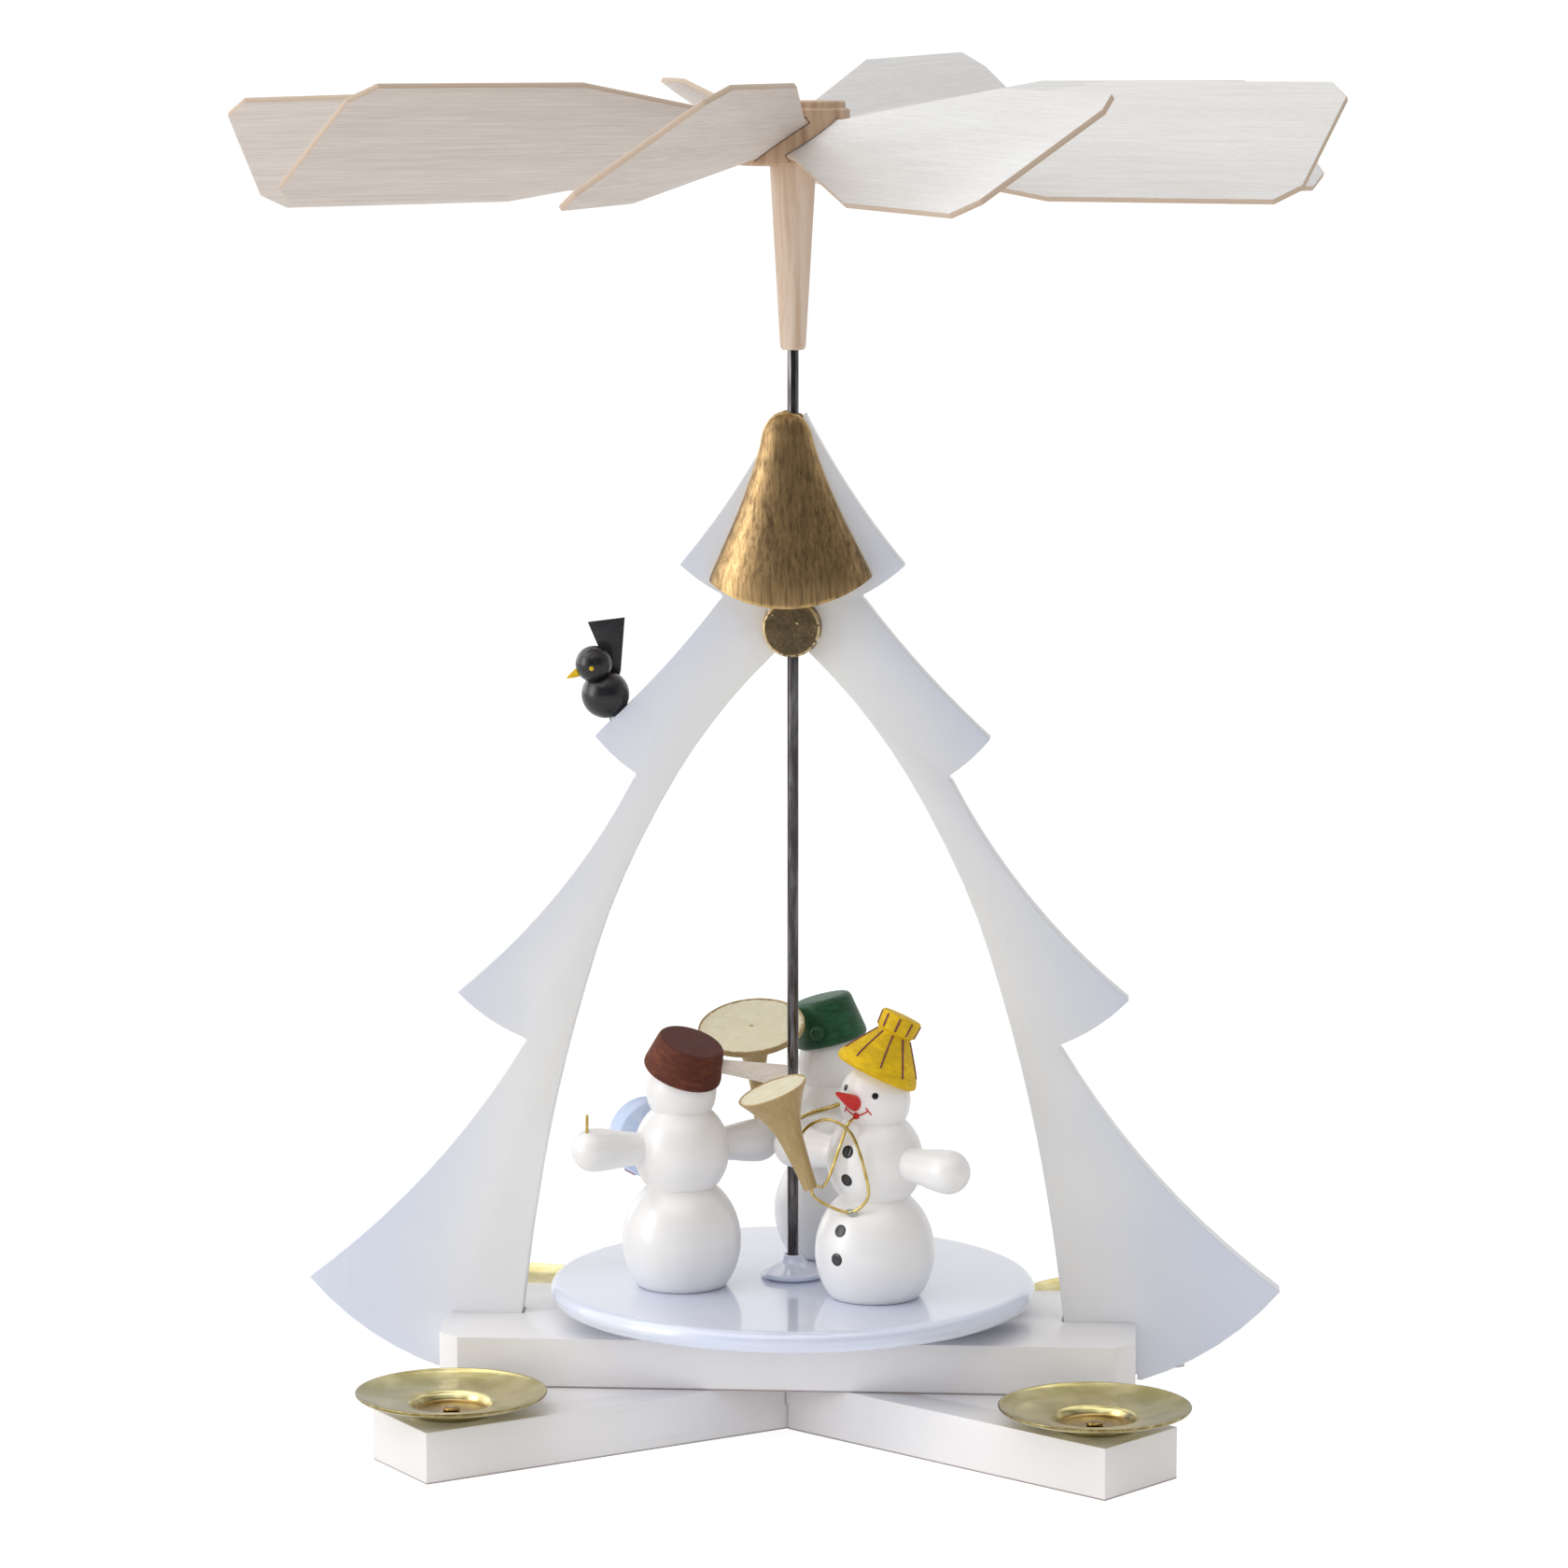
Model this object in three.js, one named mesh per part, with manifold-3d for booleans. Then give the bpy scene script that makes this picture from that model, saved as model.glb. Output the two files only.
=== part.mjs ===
// Christmas pyramid: a white wooden tree in two halves on a slotted board and a half-lapped cross, four brass
// candle dishes, and a steel spindle that carries a turntable with three snowman musicians and, on its top, a
// wing wheel of nine thin blades. Millimetres, Z up, X along the board, the front of the tree towards -Y.
// The origin is on the floor, in the middle of the cross.

import * as THREE from 'three';
import { mergeVertices } from 'three/addons/utils/BufferGeometryUtils.js';
import Module from 'manifold-3d';

const wasm = await Module();
wasm.setup();

// Clearances
const gap = 0.3; // between a piece and the neighbour that it is shaped to
const slip = 0.15; // round a pin, rod or tenon in its hole
const running = 0.1; // round the spindle in the guide dowel
const seat = 0.1; // at each side of a plate in its slot

// Cross of two half-lapped bars
const barLength = 167;
const barWidth = 20.7;
const barThick = 9.5;
const barAngle = 36.8; // degrees between each bar and the cross's own middle line
const crossTurn = -1.2; // degrees that the cross is turned off square with the board

// Board on the cross
const boardLength = 129;
const boardWidth = 45;
const boardThick = 9.25;
const barTop = barThick;
const boardTop = barThick + boardThick;
const boardCorner = 3.8;
const footInner = 51; // from the middle to the inner edge of each tree foot
const boardScrewAt = 10; // from the middle, along the X axis

// Wood screws from below
const screwRadius = 1.4;
const screwLength = 14;
const screwHeadRadius = 3;
const screwHeadThick = 1.6;

// Tree halves
const plateThick = 5;
const slitHalf = 2; // half the slit between the halves, where the spindle passes
const treeTop = 188.3;
const topWidth = 2.9; // from the middle to the outer end of each half's top
const topSlant = [0.5, 1]; // the cut corner of each half's top: across and down
const lowNotchPast = 1.1; // the lowest notch clears the end of the board
const tiers = [
  // tip of each branch, corner of the notch under it, and the rise of the curves above and below the tip
  { tip: [20.8, 160.5], notch: [13.5, 154.6], above: 0.9, below: 0.3 },
  { tip: [36.7, 128.5], notch: [29.6, 121.2], above: 0.8, below: 0.35 },
  { tip: [62.7, 79.9], notch: [50.4, 70.8], above: 2.7, below: 0.8 },
  { tip: [91.3, 25.1], notch: [boardLength / 2 + lowNotchPast, 7.8], above: 2.95, below: 2.2 },
];
const notchRound = 0.7;
const archPoints = [
  // inner edge of the right half, from its top down to the board
  [2, 145.5], [12.1, 134.6], [22.5, 119.6], [33, 98.6],
  [40.1, 76.9], [45.3, 55.8], [48.9, 35.2], [footInner, boardTop],
];

// Guide dowel that joins the halves and steadies the spindle
const dowelRadius = 5.3;
const dowelHeight = 149;
const dowelProud = 3; // stands out of each face

// Half bells glued over the joint
const bellProfile = [
  // half width at each height over the guide dowel
  [15.6, 6], [15.1, 9.1], [12.9, 14.2], [9.8, 20.8], [6.7, 28.5], [5.1, 33.6], [4.3, 36.6], [2.7, 38.9],
  [0, 39.8],
];
const bellFlatness = 0.52; // depth over half width
const bellArcRadius = 25.7;
const bellArcCentre = 29.9; // over the guide dowel
const frontBellLean = 1.6; // degrees to the left, as glued by hand

// Spindle and its bearing
const rodRadius = 1.05;
const rodTip = 19.3;
const rodTipLength = 3;
const rodTop = 231.5;
const bearingRadius = 3.5;
const bearingTop = 20.3;
const bearingDepth = 5; // into the board
const dimpleDepth = 1.3;

// Turntable and its collar
const tableRadius = 45.5;
const tableTop = 26;
const tableThick = 4;
const tableEdge = 1.7; // rounding of the rim
const collarRadius = 6.1;
const collarHeight = 4.4;
const collarNeck = 1.9;

// Candle dishes
const dishAt = 72.8; // from the middle, along each bar
const dishRadius = 17.5;
const dishHeight = 4.4;
const dishSheet = 0.5;
const candleRadius = 7; // the seat for a 14 mm candle
const nailRadius = 0.7;
const nailLength = 7;
const nailHeadRadius = 1.6;
const nailHeadThick = 0.6;

// Snowmen, turned in one piece: three balls, each with its middle height, half height and radius
const belly = { at: 8.6, half: 12.6, radius: 11.1 };
const chest = { at: 25.6, half: 9.7, radius: 8.95 };
const head = { at: 36.9, half: 7.3, radius: 6.55 };
const waistAt = 18.9;
const neckAt = 33.2;
const bandRadius = 21.7; // from the spindle to each snowman's middle
const armAt = 26; // height where the arms' lines cross the snowman's axis
const armRise = 1; // degrees
const handAt = 17.5; // from the snowman's middle to the middle of the hand
const handRadius = 4.05;
const wristRadius = 3.1;
const armPegRadius = 1.3;
const armPegFrom = 5.4; // from the snowman's middle to the peg's end
const noseAt = 37.2; // height of the nose's base
const noseBase = 6.3; // from the snowman's middle to the nose's base
const noseRadius = 1.45;
const noseLength = 6.6;
const noseRise = 26; // degrees
const nosePegRadius = 0.7;
const nosePegLength = 2.2;

// Drum, drumsticks and the pot with its handle
const drumRadius = 7.45;
const drumFrom = 9.4; // from the snowman's middle
const drumDepth = 5.1;
const drumAt = [1.3, 25.9]; // to the left of the snowman's middle, and up
const drumPegRadius = 1.1;
const drumPegLength = 4;
const stickRadius = 0.3;
const stickLength = 8;
const stickProud = 2.8; // above the hand
const stickPast = 1.6; // past the middle of the hand
const potRadius = 7.4;
const handleFrom = 4; // from the middle of the pot
const handleTo = 19.2;
const handleTurn = 24; // degrees from the snowman's right towards its back
const handleRise = 7; // degrees from the pot's own level
const handleRoot = 3;
const handleEnd = 6.6;
const handleClip = 0.4; // its clipped corners
const handleThick = 1.7;

// Horn and tuba
const hornWire = 0.3; // radius
const tubaWire = 0.4;
const wireReach = 1.6; // of each wire in its horn or tuba
const hollow = 0.6; // depth of the hollow in the face of the horn and the tuba

// Bird on the left half
const birdAt = [-34.9, 136];
const birdBody = 4.45;
const birdHead = 3.4;
const birdHeadShift = [-2, -1.5, 5.8]; // from the middle of the body to the middle of the head
const beakFrom = 2.2; // from the middle of the head
const beakLength = 2.4; // out of the head
const beakRadius = 0.8;
const beakDrop = 28; // degrees below level
const tailOutline = [[0.2, 0.5], [1.8, 0.5], [2.6, 4], [3.4, 14.1], [-3.5, 13.2], [-1.7, 9]];
const tailBack = 2.6; // behind the middle of the body
const tailThick = 0.9;
const pegRadius = 1;
const pegReach = 9.5;

// Wing wheel
const sleeveOverRod = 2.2; // wood over the end of the spindle
const sleeveLength = 33.7; // without its tenon
const sleeveTop = rodTop + sleeveOverRod;
const sleeveBottom = sleeveTop - sleeveLength;
const sleeveFoot = 2.35;
const sleeveHead = 4.25;
const tenonRadius = 2.4;
const tenonLength = 7;
const hubRadius = 10.4;
const hubHeight = 11.7;
const hubStep = 0.8; // where its top is turned a little smaller
const bladeReach = 102.9;
const bladeHalfWidth = 17.9;
const bladeThick = 1.1;
const bladePitch = 34.2; // degrees
const bladeMiddle = sleeveTop + 4.9; // height of each blade's middle line
const bladeShoulder = 56.4; // where the blade reaches its full width
const bladeRoot = 6; // half width where it meets the hub
const bladeInner = 8; // how near the axis the blade reaches in its slot
const bladeClip = [4.1, 4.5]; // clipped corners: along the blade and across it
const bladeStart = 259.6; // degrees, the blade that points to the front
const bladeStray = [
  // degrees off an even wheel, as set by hand: turned aside, twisted, and lifted at the tip
  [0, 0, 0], [-2, -1, -0.8], [-1, 0, 0], [6, -1, 0], [7, 8, 1.8], [1, 0, 0], [0, 0, -0.6], [-4, 0, -1.8],
  [1, 0, 0],
];

const round = 24; // facets round a turned piece
const fine = 12; // facets round a small one

const rad = THREE.MathUtils.degToRad;

// Materials
function paint(color, roughness, metalness = 0) {
  return new THREE.MeshStandardMaterial({ color, roughness, metalness });
}

const finish = {
  white: () => paint(0xf0f0f2, 0.45),
  lilac: () => paint(0xdfe6f5, 0.35),
  snow: () => paint(0xf6f5f4, 0.22),
  brass: () => paint(0xb8a56a, 0.3, 1),
  gold: () => paint(0xa07a35, 0.4, 0.8),
  steel: () => paint(0x6a6460, 0.3, 1),
  maple: () => paint(0xe0cbb4, 0.6),
  blade: () => paint(0xe6e2da, 0.65),
  black: () => paint(0x111214, 0.35),
  yellow: () => paint(0xe6b422, 0.4),
  brown: () => paint(0x4a1f16, 0.5),
  green: () => paint(0x0f4424, 0.4),
  red: () => paint(0xb5231c, 0.35),
  blue: () => paint(0x7ea3dc, 0.4),
  tan: () => paint(0xb98d4e, 0.5, 0.3),
};

// Solids

// Keeps only the positions, with shared vertices merged, so that the surface is closed.
function weld(geometry) {
  const shell = geometry.clone();
  shell.deleteAttribute('normal');
  shell.deleteAttribute('uv');
  return mergeVertices(shell, 1e-5);
}

function toSolid(geometry) {
  const shell = weld(geometry);
  const vertProperties = new Float32Array(shell.attributes.position.array);
  const triVerts = new Uint32Array(shell.index.array);
  return new wasm.Manifold(new wasm.Mesh({ numProp: 3, vertProperties, triVerts }));
}

function toGeometry(solid) {
  const mesh = solid.getMesh();
  const geometry = new THREE.BufferGeometry();
  geometry.setAttribute('position', new THREE.BufferAttribute(new Float32Array(mesh.vertProperties), 3));
  geometry.setIndex(new THREE.BufferAttribute(new Uint32Array(mesh.triVerts), 1));
  return geometry;
}

function cut(geometry, ...tools) {
  return toGeometry(tools.reduce((solid, tool) => solid.subtract(toSolid(tool)), toSolid(geometry)));
}

function join(geometry, ...others) {
  return toGeometry(others.reduce((solid, other) => solid.add(toSolid(other)), toSolid(geometry)));
}

function common(geometry, other) {
  return toGeometry(toSolid(geometry).intersect(toSolid(other)));
}

// A turned solid about Z from [radius, height] pairs, from the bottom of the axis up to its top.
function turned(profile, facets = round) {
  const points = profile.map(([r, z]) => new THREE.Vector2(r, z));
  return new THREE.LatheGeometry(points, facets).rotateX(Math.PI / 2);
}

function rodAlongZ(radius, from, to, facets = fine) {
  return turned([[0, from], [radius, from], [radius, to], [0, to]], facets);
}

// A solid of an outline in X and Z, with its thickness along Y and its middle at Y = 0.
function slab(outline, thick) {
  const shape = new THREE.Shape(outline.map(([x, z]) => new THREE.Vector2(x, z)));
  const solid = new THREE.ExtrudeGeometry(shape, { depth: thick, bevelEnabled: false, curveSegments: 1 });
  return solid.rotateX(Math.PI / 2).translate(0, thick / 2, 0);
}

// A solid of an outline in X and Y, from one height up.
function board(outline, from, thick) {
  const shape = new THREE.Shape(outline.map(([x, y]) => new THREE.Vector2(x, y)));
  return new THREE.ExtrudeGeometry(shape, { depth: thick, bevelEnabled: false }).translate(0, 0, from);
}

function box(sx, sy, sz, x, y, z) {
  return new THREE.BoxGeometry(sx, sy, sz).translate(x, y, z);
}

// Points of a circular arc from a to b, without its first, that rises by sag to the left of the way there.
function arc(a, b, sag, steps) {
  const chord = Math.hypot(b[0] - a[0], b[1] - a[1]);
  const left = [-(b[1] - a[1]) / chord, (b[0] - a[0]) / chord];
  const radius = (chord * chord / 4 + sag * sag) / (2 * sag);
  const half = Math.asin(chord / 2 / radius);
  return Array.from({ length: steps }, (_, i) => {
    const turn = half * (2 * (i + 1) / steps - 1);
    const along = 0.5 + Math.sin(turn) * radius / chord;
    const rise = radius * Math.cos(turn) - (radius - sag);
    return [0, 1].map((k) => a[k] + (b[k] - a[k]) * along + left[k] * rise);
  });
}

// A round wire through the given points.
function wire(points, radius, steps, sides = 8) {
  const path = new THREE.CatmullRomCurve3(points.map((p) => new THREE.Vector3(...p)), false, 'centripetal');
  const section = new THREE.Shape();
  section.absarc(0, 0, radius, 0, 2 * Math.PI);
  return new THREE.ExtrudeGeometry(section, { extrudePath: path, steps, curveSegments: sides });
}

const parts = new THREE.Group();

function place(parent, name, geometry, material) {
  const mesh = new THREE.Mesh(weld(geometry), material());
  mesh.name = name;
  parent.add(mesh);
  return mesh;
}

// Base

const bars = [
  { name: 'cross_bar_lower', way: 1, dishes: ['front_left', 'back_right'], lapFrom: barThick / 2 },
  { name: 'cross_bar_upper', way: -1, dishes: ['back_left', 'front_right'], lapFrom: -1 },
];

function screwHole(x) {
  const head = rodAlongZ(screwHeadRadius + slip, -1, screwHeadThick + slip);
  const shank = rodAlongZ(screwRadius + slip, -1, screwLength + slip + screwHeadThick);
  return join(head, shank).translate(x, 0, 0);
}

function barTurn(way) {
  return rad(way * barAngle + crossTurn);
}

// One bar of the cross, lapped by half its thickness over or under the other.
function crossBar({ way, lapFrom }) {
  const bar = box(barLength, barWidth, barThick, 0, 0, barThick / 2);
  const lapHeight = barThick / 2 + 1;
  const other = box(barLength, barWidth + 2 * gap, lapHeight, 0, 0, lapFrom + lapHeight / 2);
  const nailHole = rodAlongZ(nailRadius + slip, barTop - nailLength, barTop + 1, fine);
  const holes = [-dishAt, dishAt].map((x) => nailHole.clone().translate(x, 0, 0));
  const screws = [-boardScrewAt, boardScrewAt].map((x) => screwHole(x).rotateZ(-barTurn(way)));
  return cut(bar, other.rotateZ(-2 * way * rad(barAngle)), ...holes, ...screws).rotateZ(barTurn(way));
}

function baseBoard() {
  const [x, y, c] = [boardLength / 2, boardWidth / 2, boardCorner];
  const outline = [
    [x, y - c], [x - c, y], [c - x, y], [-x, y - c], [-x, c - y], [c - x, -y], [x - c, -y], [x, c - y],
  ];
  const slotLength = x - footInner + gap + 1;
  const slot = box(slotLength, plateThick + 2 * seat, boardThick + 2, 0, 0, barTop + boardThick / 2);
  const slots = [-1, 1].map((side) => slot.clone().translate(side * (x + 1 - slotLength / 2), 0, 0));
  const socket = rodAlongZ(bearingRadius + slip, boardTop - bearingDepth - slip, boardTop + 1);
  const screws = [-boardScrewAt, boardScrewAt].map(screwHole);
  return cut(board(outline, barTop, boardThick), ...slots, socket, ...screws);
}

function screw() {
  return turned([
    [0, 0], [screwHeadRadius, 0], [screwRadius, screwHeadThick], [screwRadius, screwLength - 2],
    [0, screwLength],
  ], fine);
}

for (const bar of bars) place(parts, bar.name, crossBar(bar), finish.white);
place(parts, 'base_board', baseBoard(), finish.white);
place(parts, 'board_screw_left', screw(), finish.steel).position.set(-boardScrewAt, 0, 0);
place(parts, 'board_screw_right', screw(), finish.steel).position.set(boardScrewAt, 0, 0);

// Candle dishes, with a flat seat, a candle cup and a flared rim

function candleDish() {
  const [r, s, h] = [candleRadius, dishSheet, dishHeight];
  const shell = turned([
    [0, 0], [r + s, 0], [r + s + 0.2, 1.5], [r + 2.2, 2], [r + 6.5, 2.6],
    [dishRadius - 0.4, h - 0.9], [dishRadius, h - 0.3], [dishRadius - 0.3, h], [dishRadius - 1, h - 0.4],
    [r + 6.5, 2.6 + s], [r + 2, 2 + s], [r + 0.4, 1.9], [r, 1.4], [r, s], [0, s],
  ]);
  return cut(shell, rodAlongZ(nailRadius + slip, -1, h, fine));
}

function dishNail() {
  const under = dishSheet + slip;
  return turned([
    [0, -nailLength + slip], [nailRadius, 1 - nailLength], [nailRadius, under], [nailHeadRadius, under],
    [nailHeadRadius, under + nailHeadThick * 0.6], [nailHeadRadius / 2, under + nailHeadThick],
    [0, under + nailHeadThick],
  ], fine);
}

for (const { way, dishes } of bars) {
  dishes.forEach((corner, i) => {
    const along = (i === 0 ? -1 : 1) * dishAt;
    const spot = [along * Math.cos(barTurn(way)), along * Math.sin(barTurn(way))];
    place(parts, `candle_dish_${corner}`, candleDish(), finish.brass).position.set(...spot, barTop);
    place(parts, `dish_nail_${corner}`, dishNail(), finish.brass).position.set(...spot, barTop);
  });
}

// Tree

// Outline of the right half, counter-clockwise from the foot of its inner edge.
function halfOutline() {
  const outside = boardLength / 2 + gap;
  const lowest = tiers[tiers.length - 1].notch;
  const points = [[footInner, barTop], [outside, barTop], [outside, lowest[1]], lowest];
  for (let i = tiers.length - 1; i >= 0; i -= 1) {
    const { tip, above, below } = tiers[i];
    const upper = i > 0 ? tiers[i - 1].notch : [topWidth, treeTop - topSlant[1]];
    const start = i > 0 ? [upper[0], upper[1] - notchRound] : upper;
    points.push(...arc(points[points.length - 1], tip, -below, 6));
    points.push(...arc(tip, start, above, 10));
    if (i > 0) points.push(...arc(start, [upper[0], upper[1] + notchRound], notchRound * 0.8, 4));
  }
  points.push([topWidth - topSlant[0], treeTop], [slitHalf, treeTop]);
  const arch = new THREE.SplineCurve(archPoints.map(([x, z]) => new THREE.Vector2(x, z)));
  points.push(...arch.getPoints(22).map((p) => [p.x, p.y]));
  return points;
}

// A pin through the tree from front to back, at the height of the guide dowel.
function dowelAcross(radius, half) {
  return rodAlongZ(radius, -half, half, round).rotateX(Math.PI / 2).translate(0, 0, dowelHeight);
}

function guideDowel() {
  const pin = dowelAcross(dowelRadius, plateThick / 2 + dowelProud);
  const reach = dowelHeight + 2 * dowelRadius;
  return cut(pin, rodAlongZ(rodRadius + running, dowelHeight - 2 * dowelRadius, reach));
}

// A half bell on the front: a turned bell pressed flat, split along its middle, with an arched foot.
function halfBell(lean) {
  const face = plateThick / 2;
  const [footRadius, footHeight] = bellProfile[0];
  const low = footHeight - dowelRadius;
  const whole = turned([[0, low], [footRadius, low], ...bellProfile], 32).scale(1, bellFlatness, 1);
  const front = common(whole, box(60, 30, 60, 0, -15, low + 20)).translate(0, -face, 0);
  const foot = rodAlongZ(bellArcRadius, -30, 30, 72).rotateX(Math.PI / 2).translate(0, 0, bellArcCentre);
  const bell = common(front, foot).rotateY(-rad(lean)).translate(0, 0, dowelHeight);
  return cut(bell, dowelAcross(dowelRadius + gap, face + dowelProud + gap));
}

const rightHalf = cut(slab(halfOutline(), plateThick), dowelAcross(dowelRadius + slip, plateThick));
const birdPegHole = rodAlongZ(pegRadius + slip, -pegReach - slip, 0).translate(birdAt[0], 0, birdAt[1]);
place(parts, 'tree_half_right', rightHalf, finish.white);
place(parts, 'tree_half_left', cut(rightHalf.clone().rotateZ(Math.PI), birdPegHole), finish.white);
place(parts, 'guide_dowel', guideDowel(), finish.gold);
place(parts, 'bell_half_front', halfBell(frontBellLean), finish.gold);
place(parts, 'bell_half_back', halfBell(0).rotateZ(Math.PI), finish.gold);

// Bird on the left half, made with the middle of its body at the origin

function ball(radius) {
  return new THREE.SphereGeometry(radius, 20, 12);
}

function onHead(geometry) {
  return geometry.translate(...birdHeadShift);
}

function beakAlong(geometry) {
  return onHead(geometry.rotateY(-rad(90 + beakDrop)));
}

function tail(grow) {
  return slab(tailOutline, tailThick + 2 * grow).translate(0, tailBack, 0);
}

function birdBodyBall() {
  const branch = slab(halfOutline(), plateThick + 2 * gap).rotateZ(Math.PI);
  const seatOnBranch = branch.translate(-birdAt[0] - gap, 0, gap - birdAt[1]);
  return join(cut(ball(birdBody), seatOnBranch, tail(slip)), rodAlongZ(pegRadius, -pegReach, 0));
}

function birdHeadBall() {
  const beakHole = beakAlong(rodAlongZ(beakRadius + slip, beakFrom - slip, birdHead + 1));
  return cut(onHead(ball(birdHead)), ball(birdBody + gap), beakHole);
}

const bird = new THREE.Group();
bird.position.set(birdAt[0], 0, birdAt[1]);
parts.add(bird);
place(bird, 'bird_body', birdBodyBall(), finish.black);
place(bird, 'bird_head', birdHeadBall(), finish.black);
place(bird, 'bird_tail', tail(0), finish.black);
place(bird, 'bird_beak', beakAlong(turned([
  [0, beakFrom], [beakRadius, beakFrom], [beakRadius, birdHead + 0.2], [0, birdHead + beakLength],
], fine)), finish.yellow);

// Spindle, its bearing cup, and the turntable with its collar

const rotor = new THREE.Group();
parts.add(rotor);

place(parts, 'foot_bearing', turned([
  [0, boardTop - bearingDepth], [bearingRadius, boardTop - bearingDepth], [bearingRadius, bearingTop],
  [rodRadius + gap, bearingTop], [0, bearingTop - dimpleDepth],
]), finish.brass);
place(rotor, 'spindle', turned([
  [0, rodTip], [rodRadius, rodTip + rodTipLength], [rodRadius, rodTop - 0.3], [rodRadius - 0.3, rodTop],
  [0, rodTop],
], fine), finish.steel);

const bore = rodRadius + slip;

function turntable() {
  const bottom = tableTop - tableThick;
  const [inner, slant] = [tableRadius - tableEdge, tableEdge * Math.SQRT1_2];
  return turned([
    [bore, bottom], [inner, bottom], [inner + slant, bottom + tableEdge - slant],
    [tableRadius, bottom + tableEdge], [tableRadius, tableTop - tableEdge],
    [inner + slant, tableTop - tableEdge + slant], [inner, tableTop], [bore, tableTop], [bore, bottom],
  ], 56);
}

function collar() {
  return turned([
    [bore, 0], [collarRadius, 0], [collarRadius, 1.3], [collarNeck + 2, 2.2], [collarNeck + 0.6, 3.1],
    [collarNeck, collarHeight], [bore, collarHeight], [bore, 0],
  ]);
}

place(rotor, 'turntable', turntable(), finish.lilac);
place(rotor, 'turntable_collar', collar(), finish.lilac).position.set(0, 0, tableTop);

// Snowmen. Each is made facing along X, with its left side towards Y, its axis on Z and its foot at Z = 0.

// Part of a ball's outline between two heights, as [radius, height] pairs.
function ballSide({ at, half, radius }, from, to, steps) {
  const [low, high] = [from, to].map((z) => Math.asin(Math.max(-1, Math.min(1, (z - at) / half))));
  return Array.from({ length: steps + 1 }, (_, i) => {
    const turn = low + (high - low) * i / steps;
    return [radius * Math.cos(turn), at + half * Math.sin(turn)];
  });
}

// The three balls of a snowman, each grown by the given allowance.
function balls(grow = 0) {
  const [b, c, h] = [belly, chest, head].map((o) => ({ ...o, half: o.half + grow, radius: o.radius + grow }));
  const crown = h.at + h.half;
  return turned([
    [0, 0], ...ballSide(b, 0, waistAt, 7), ...ballSide(c, waistAt, neckAt, 6).slice(1),
    ...ballSide(h, neckAt, crown, 7).slice(1, -1), [0, crown],
  ]);
}

// Moves a piece made along Z to lie along an arm, at side degrees to the snowman's left.
function alongArm(geometry, { side, rise = armRise }) {
  return geometry.rotateY(Math.PI / 2 - rad(rise)).rotateZ(rad(side)).translate(0, 0, armAt);
}

function alongNose(geometry) {
  return geometry.rotateY(Math.PI / 2 - rad(noseRise)).translate(noseBase, 0, noseAt);
}

// Moves a piece made upright to sit on the head with the hat's tilt, in degrees back and to the left.
function asHat(geometry, { up, back, left = 0 }) {
  return geometry.rotateX(-rad(left)).rotateY(-rad(back)).translate(0, 0, up);
}

// Moves a piece made along Z to start at one point and run towards another.
function towards(geometry, from, to) {
  const start = new THREE.Vector3(...from);
  const way = new THREE.Vector3(...to).sub(start).normalize();
  const turn = new THREE.Quaternion().setFromUnitVectors(new THREE.Vector3(0, 0, 1), way);
  return geometry.applyQuaternion(turn).translate(...from);
}

function arm(spec) {
  const hand = { at: handAt, half: handRadius, radius: handRadius };
  const wristAt = handAt - handRadius * Math.sqrt(1 - (wristRadius / handRadius) ** 2);
  const sleeve = turned([[0, armPegFrom], [wristRadius, armPegFrom],
    ...ballSide(hand, wristAt, handAt + handRadius, 7).slice(0, -1), [0, handAt + handRadius]], 16);
  const peg = alongArm(rodAlongZ(armPegRadius, armPegFrom, handAt), spec);
  return join(cut(alongArm(sleeve, spec), balls(gap)), peg);
}

function nose() {
  const base = 2 * gap; // past the curve of the head
  return alongNose(turned([
    [0, -nosePegLength], [nosePegRadius, -nosePegLength], [nosePegRadius, base], [noseRadius * 0.8, base],
    [noseRadius, base + 0.5], [noseRadius * 0.85, 2.2], [0.35, noseLength - 0.3], [0, noseLength],
  ], fine));
}

function snowmanBody({ arms, hat, sockets = [] }) {
  const armHole = rodAlongZ(armPegRadius + slip, armPegFrom - slip, chest.radius + 3);
  const noseHole = rodAlongZ(nosePegRadius + slip, -nosePegLength - slip, 3);
  const crown = box(40, 40, 20, 0, 0, 10 - gap);
  const armHoles = Object.values(arms).map((spec) => alongArm(armHole.clone(), spec));
  return cut(balls(), ...armHoles, alongNose(noseHole), asHat(crown, hat), ...sockets);
}

// Adds a snowman's group with its body, arms, nose and hat.
function snowman(spec) {
  const group = new THREE.Group();
  const [angle, facing] = [rad(spec.at), rad(spec.facing)];
  group.position.set(bandRadius * Math.cos(angle), bandRadius * Math.sin(angle), tableTop);
  group.rotation.z = facing;
  rotor.add(group);
  place(group, `${spec.name}_body`, snowmanBody(spec), finish.snow);
  for (const [side, direction] of Object.entries(spec.arms)) {
    const pin = spec.pins?.[side] ?? [];
    const solid = arm(direction);
    place(group, `${spec.name}_arm_${side}`, pin.length ? cut(solid, ...pin) : solid, finish.snow);
  }
  place(group, `${spec.name}_nose`, nose(), finish.red);
  place(group, `${spec.name}_hat`, asHat(spec.hatShape(), spec.hat), spec.hatFinish);
  return group;
}

// Drummer: a pot with a flat handle for a hat, a drum on its chest and a stick in its left hand

const handleHeight = 2.8; // in the pot

// Moves a piece made along -Y to lie along the pot's handle.
function alongHandle(geometry) {
  return geometry.rotateX(-rad(handleRise)).translate(0, 0, handleHeight).rotateZ(-rad(handleTurn));
}

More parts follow.
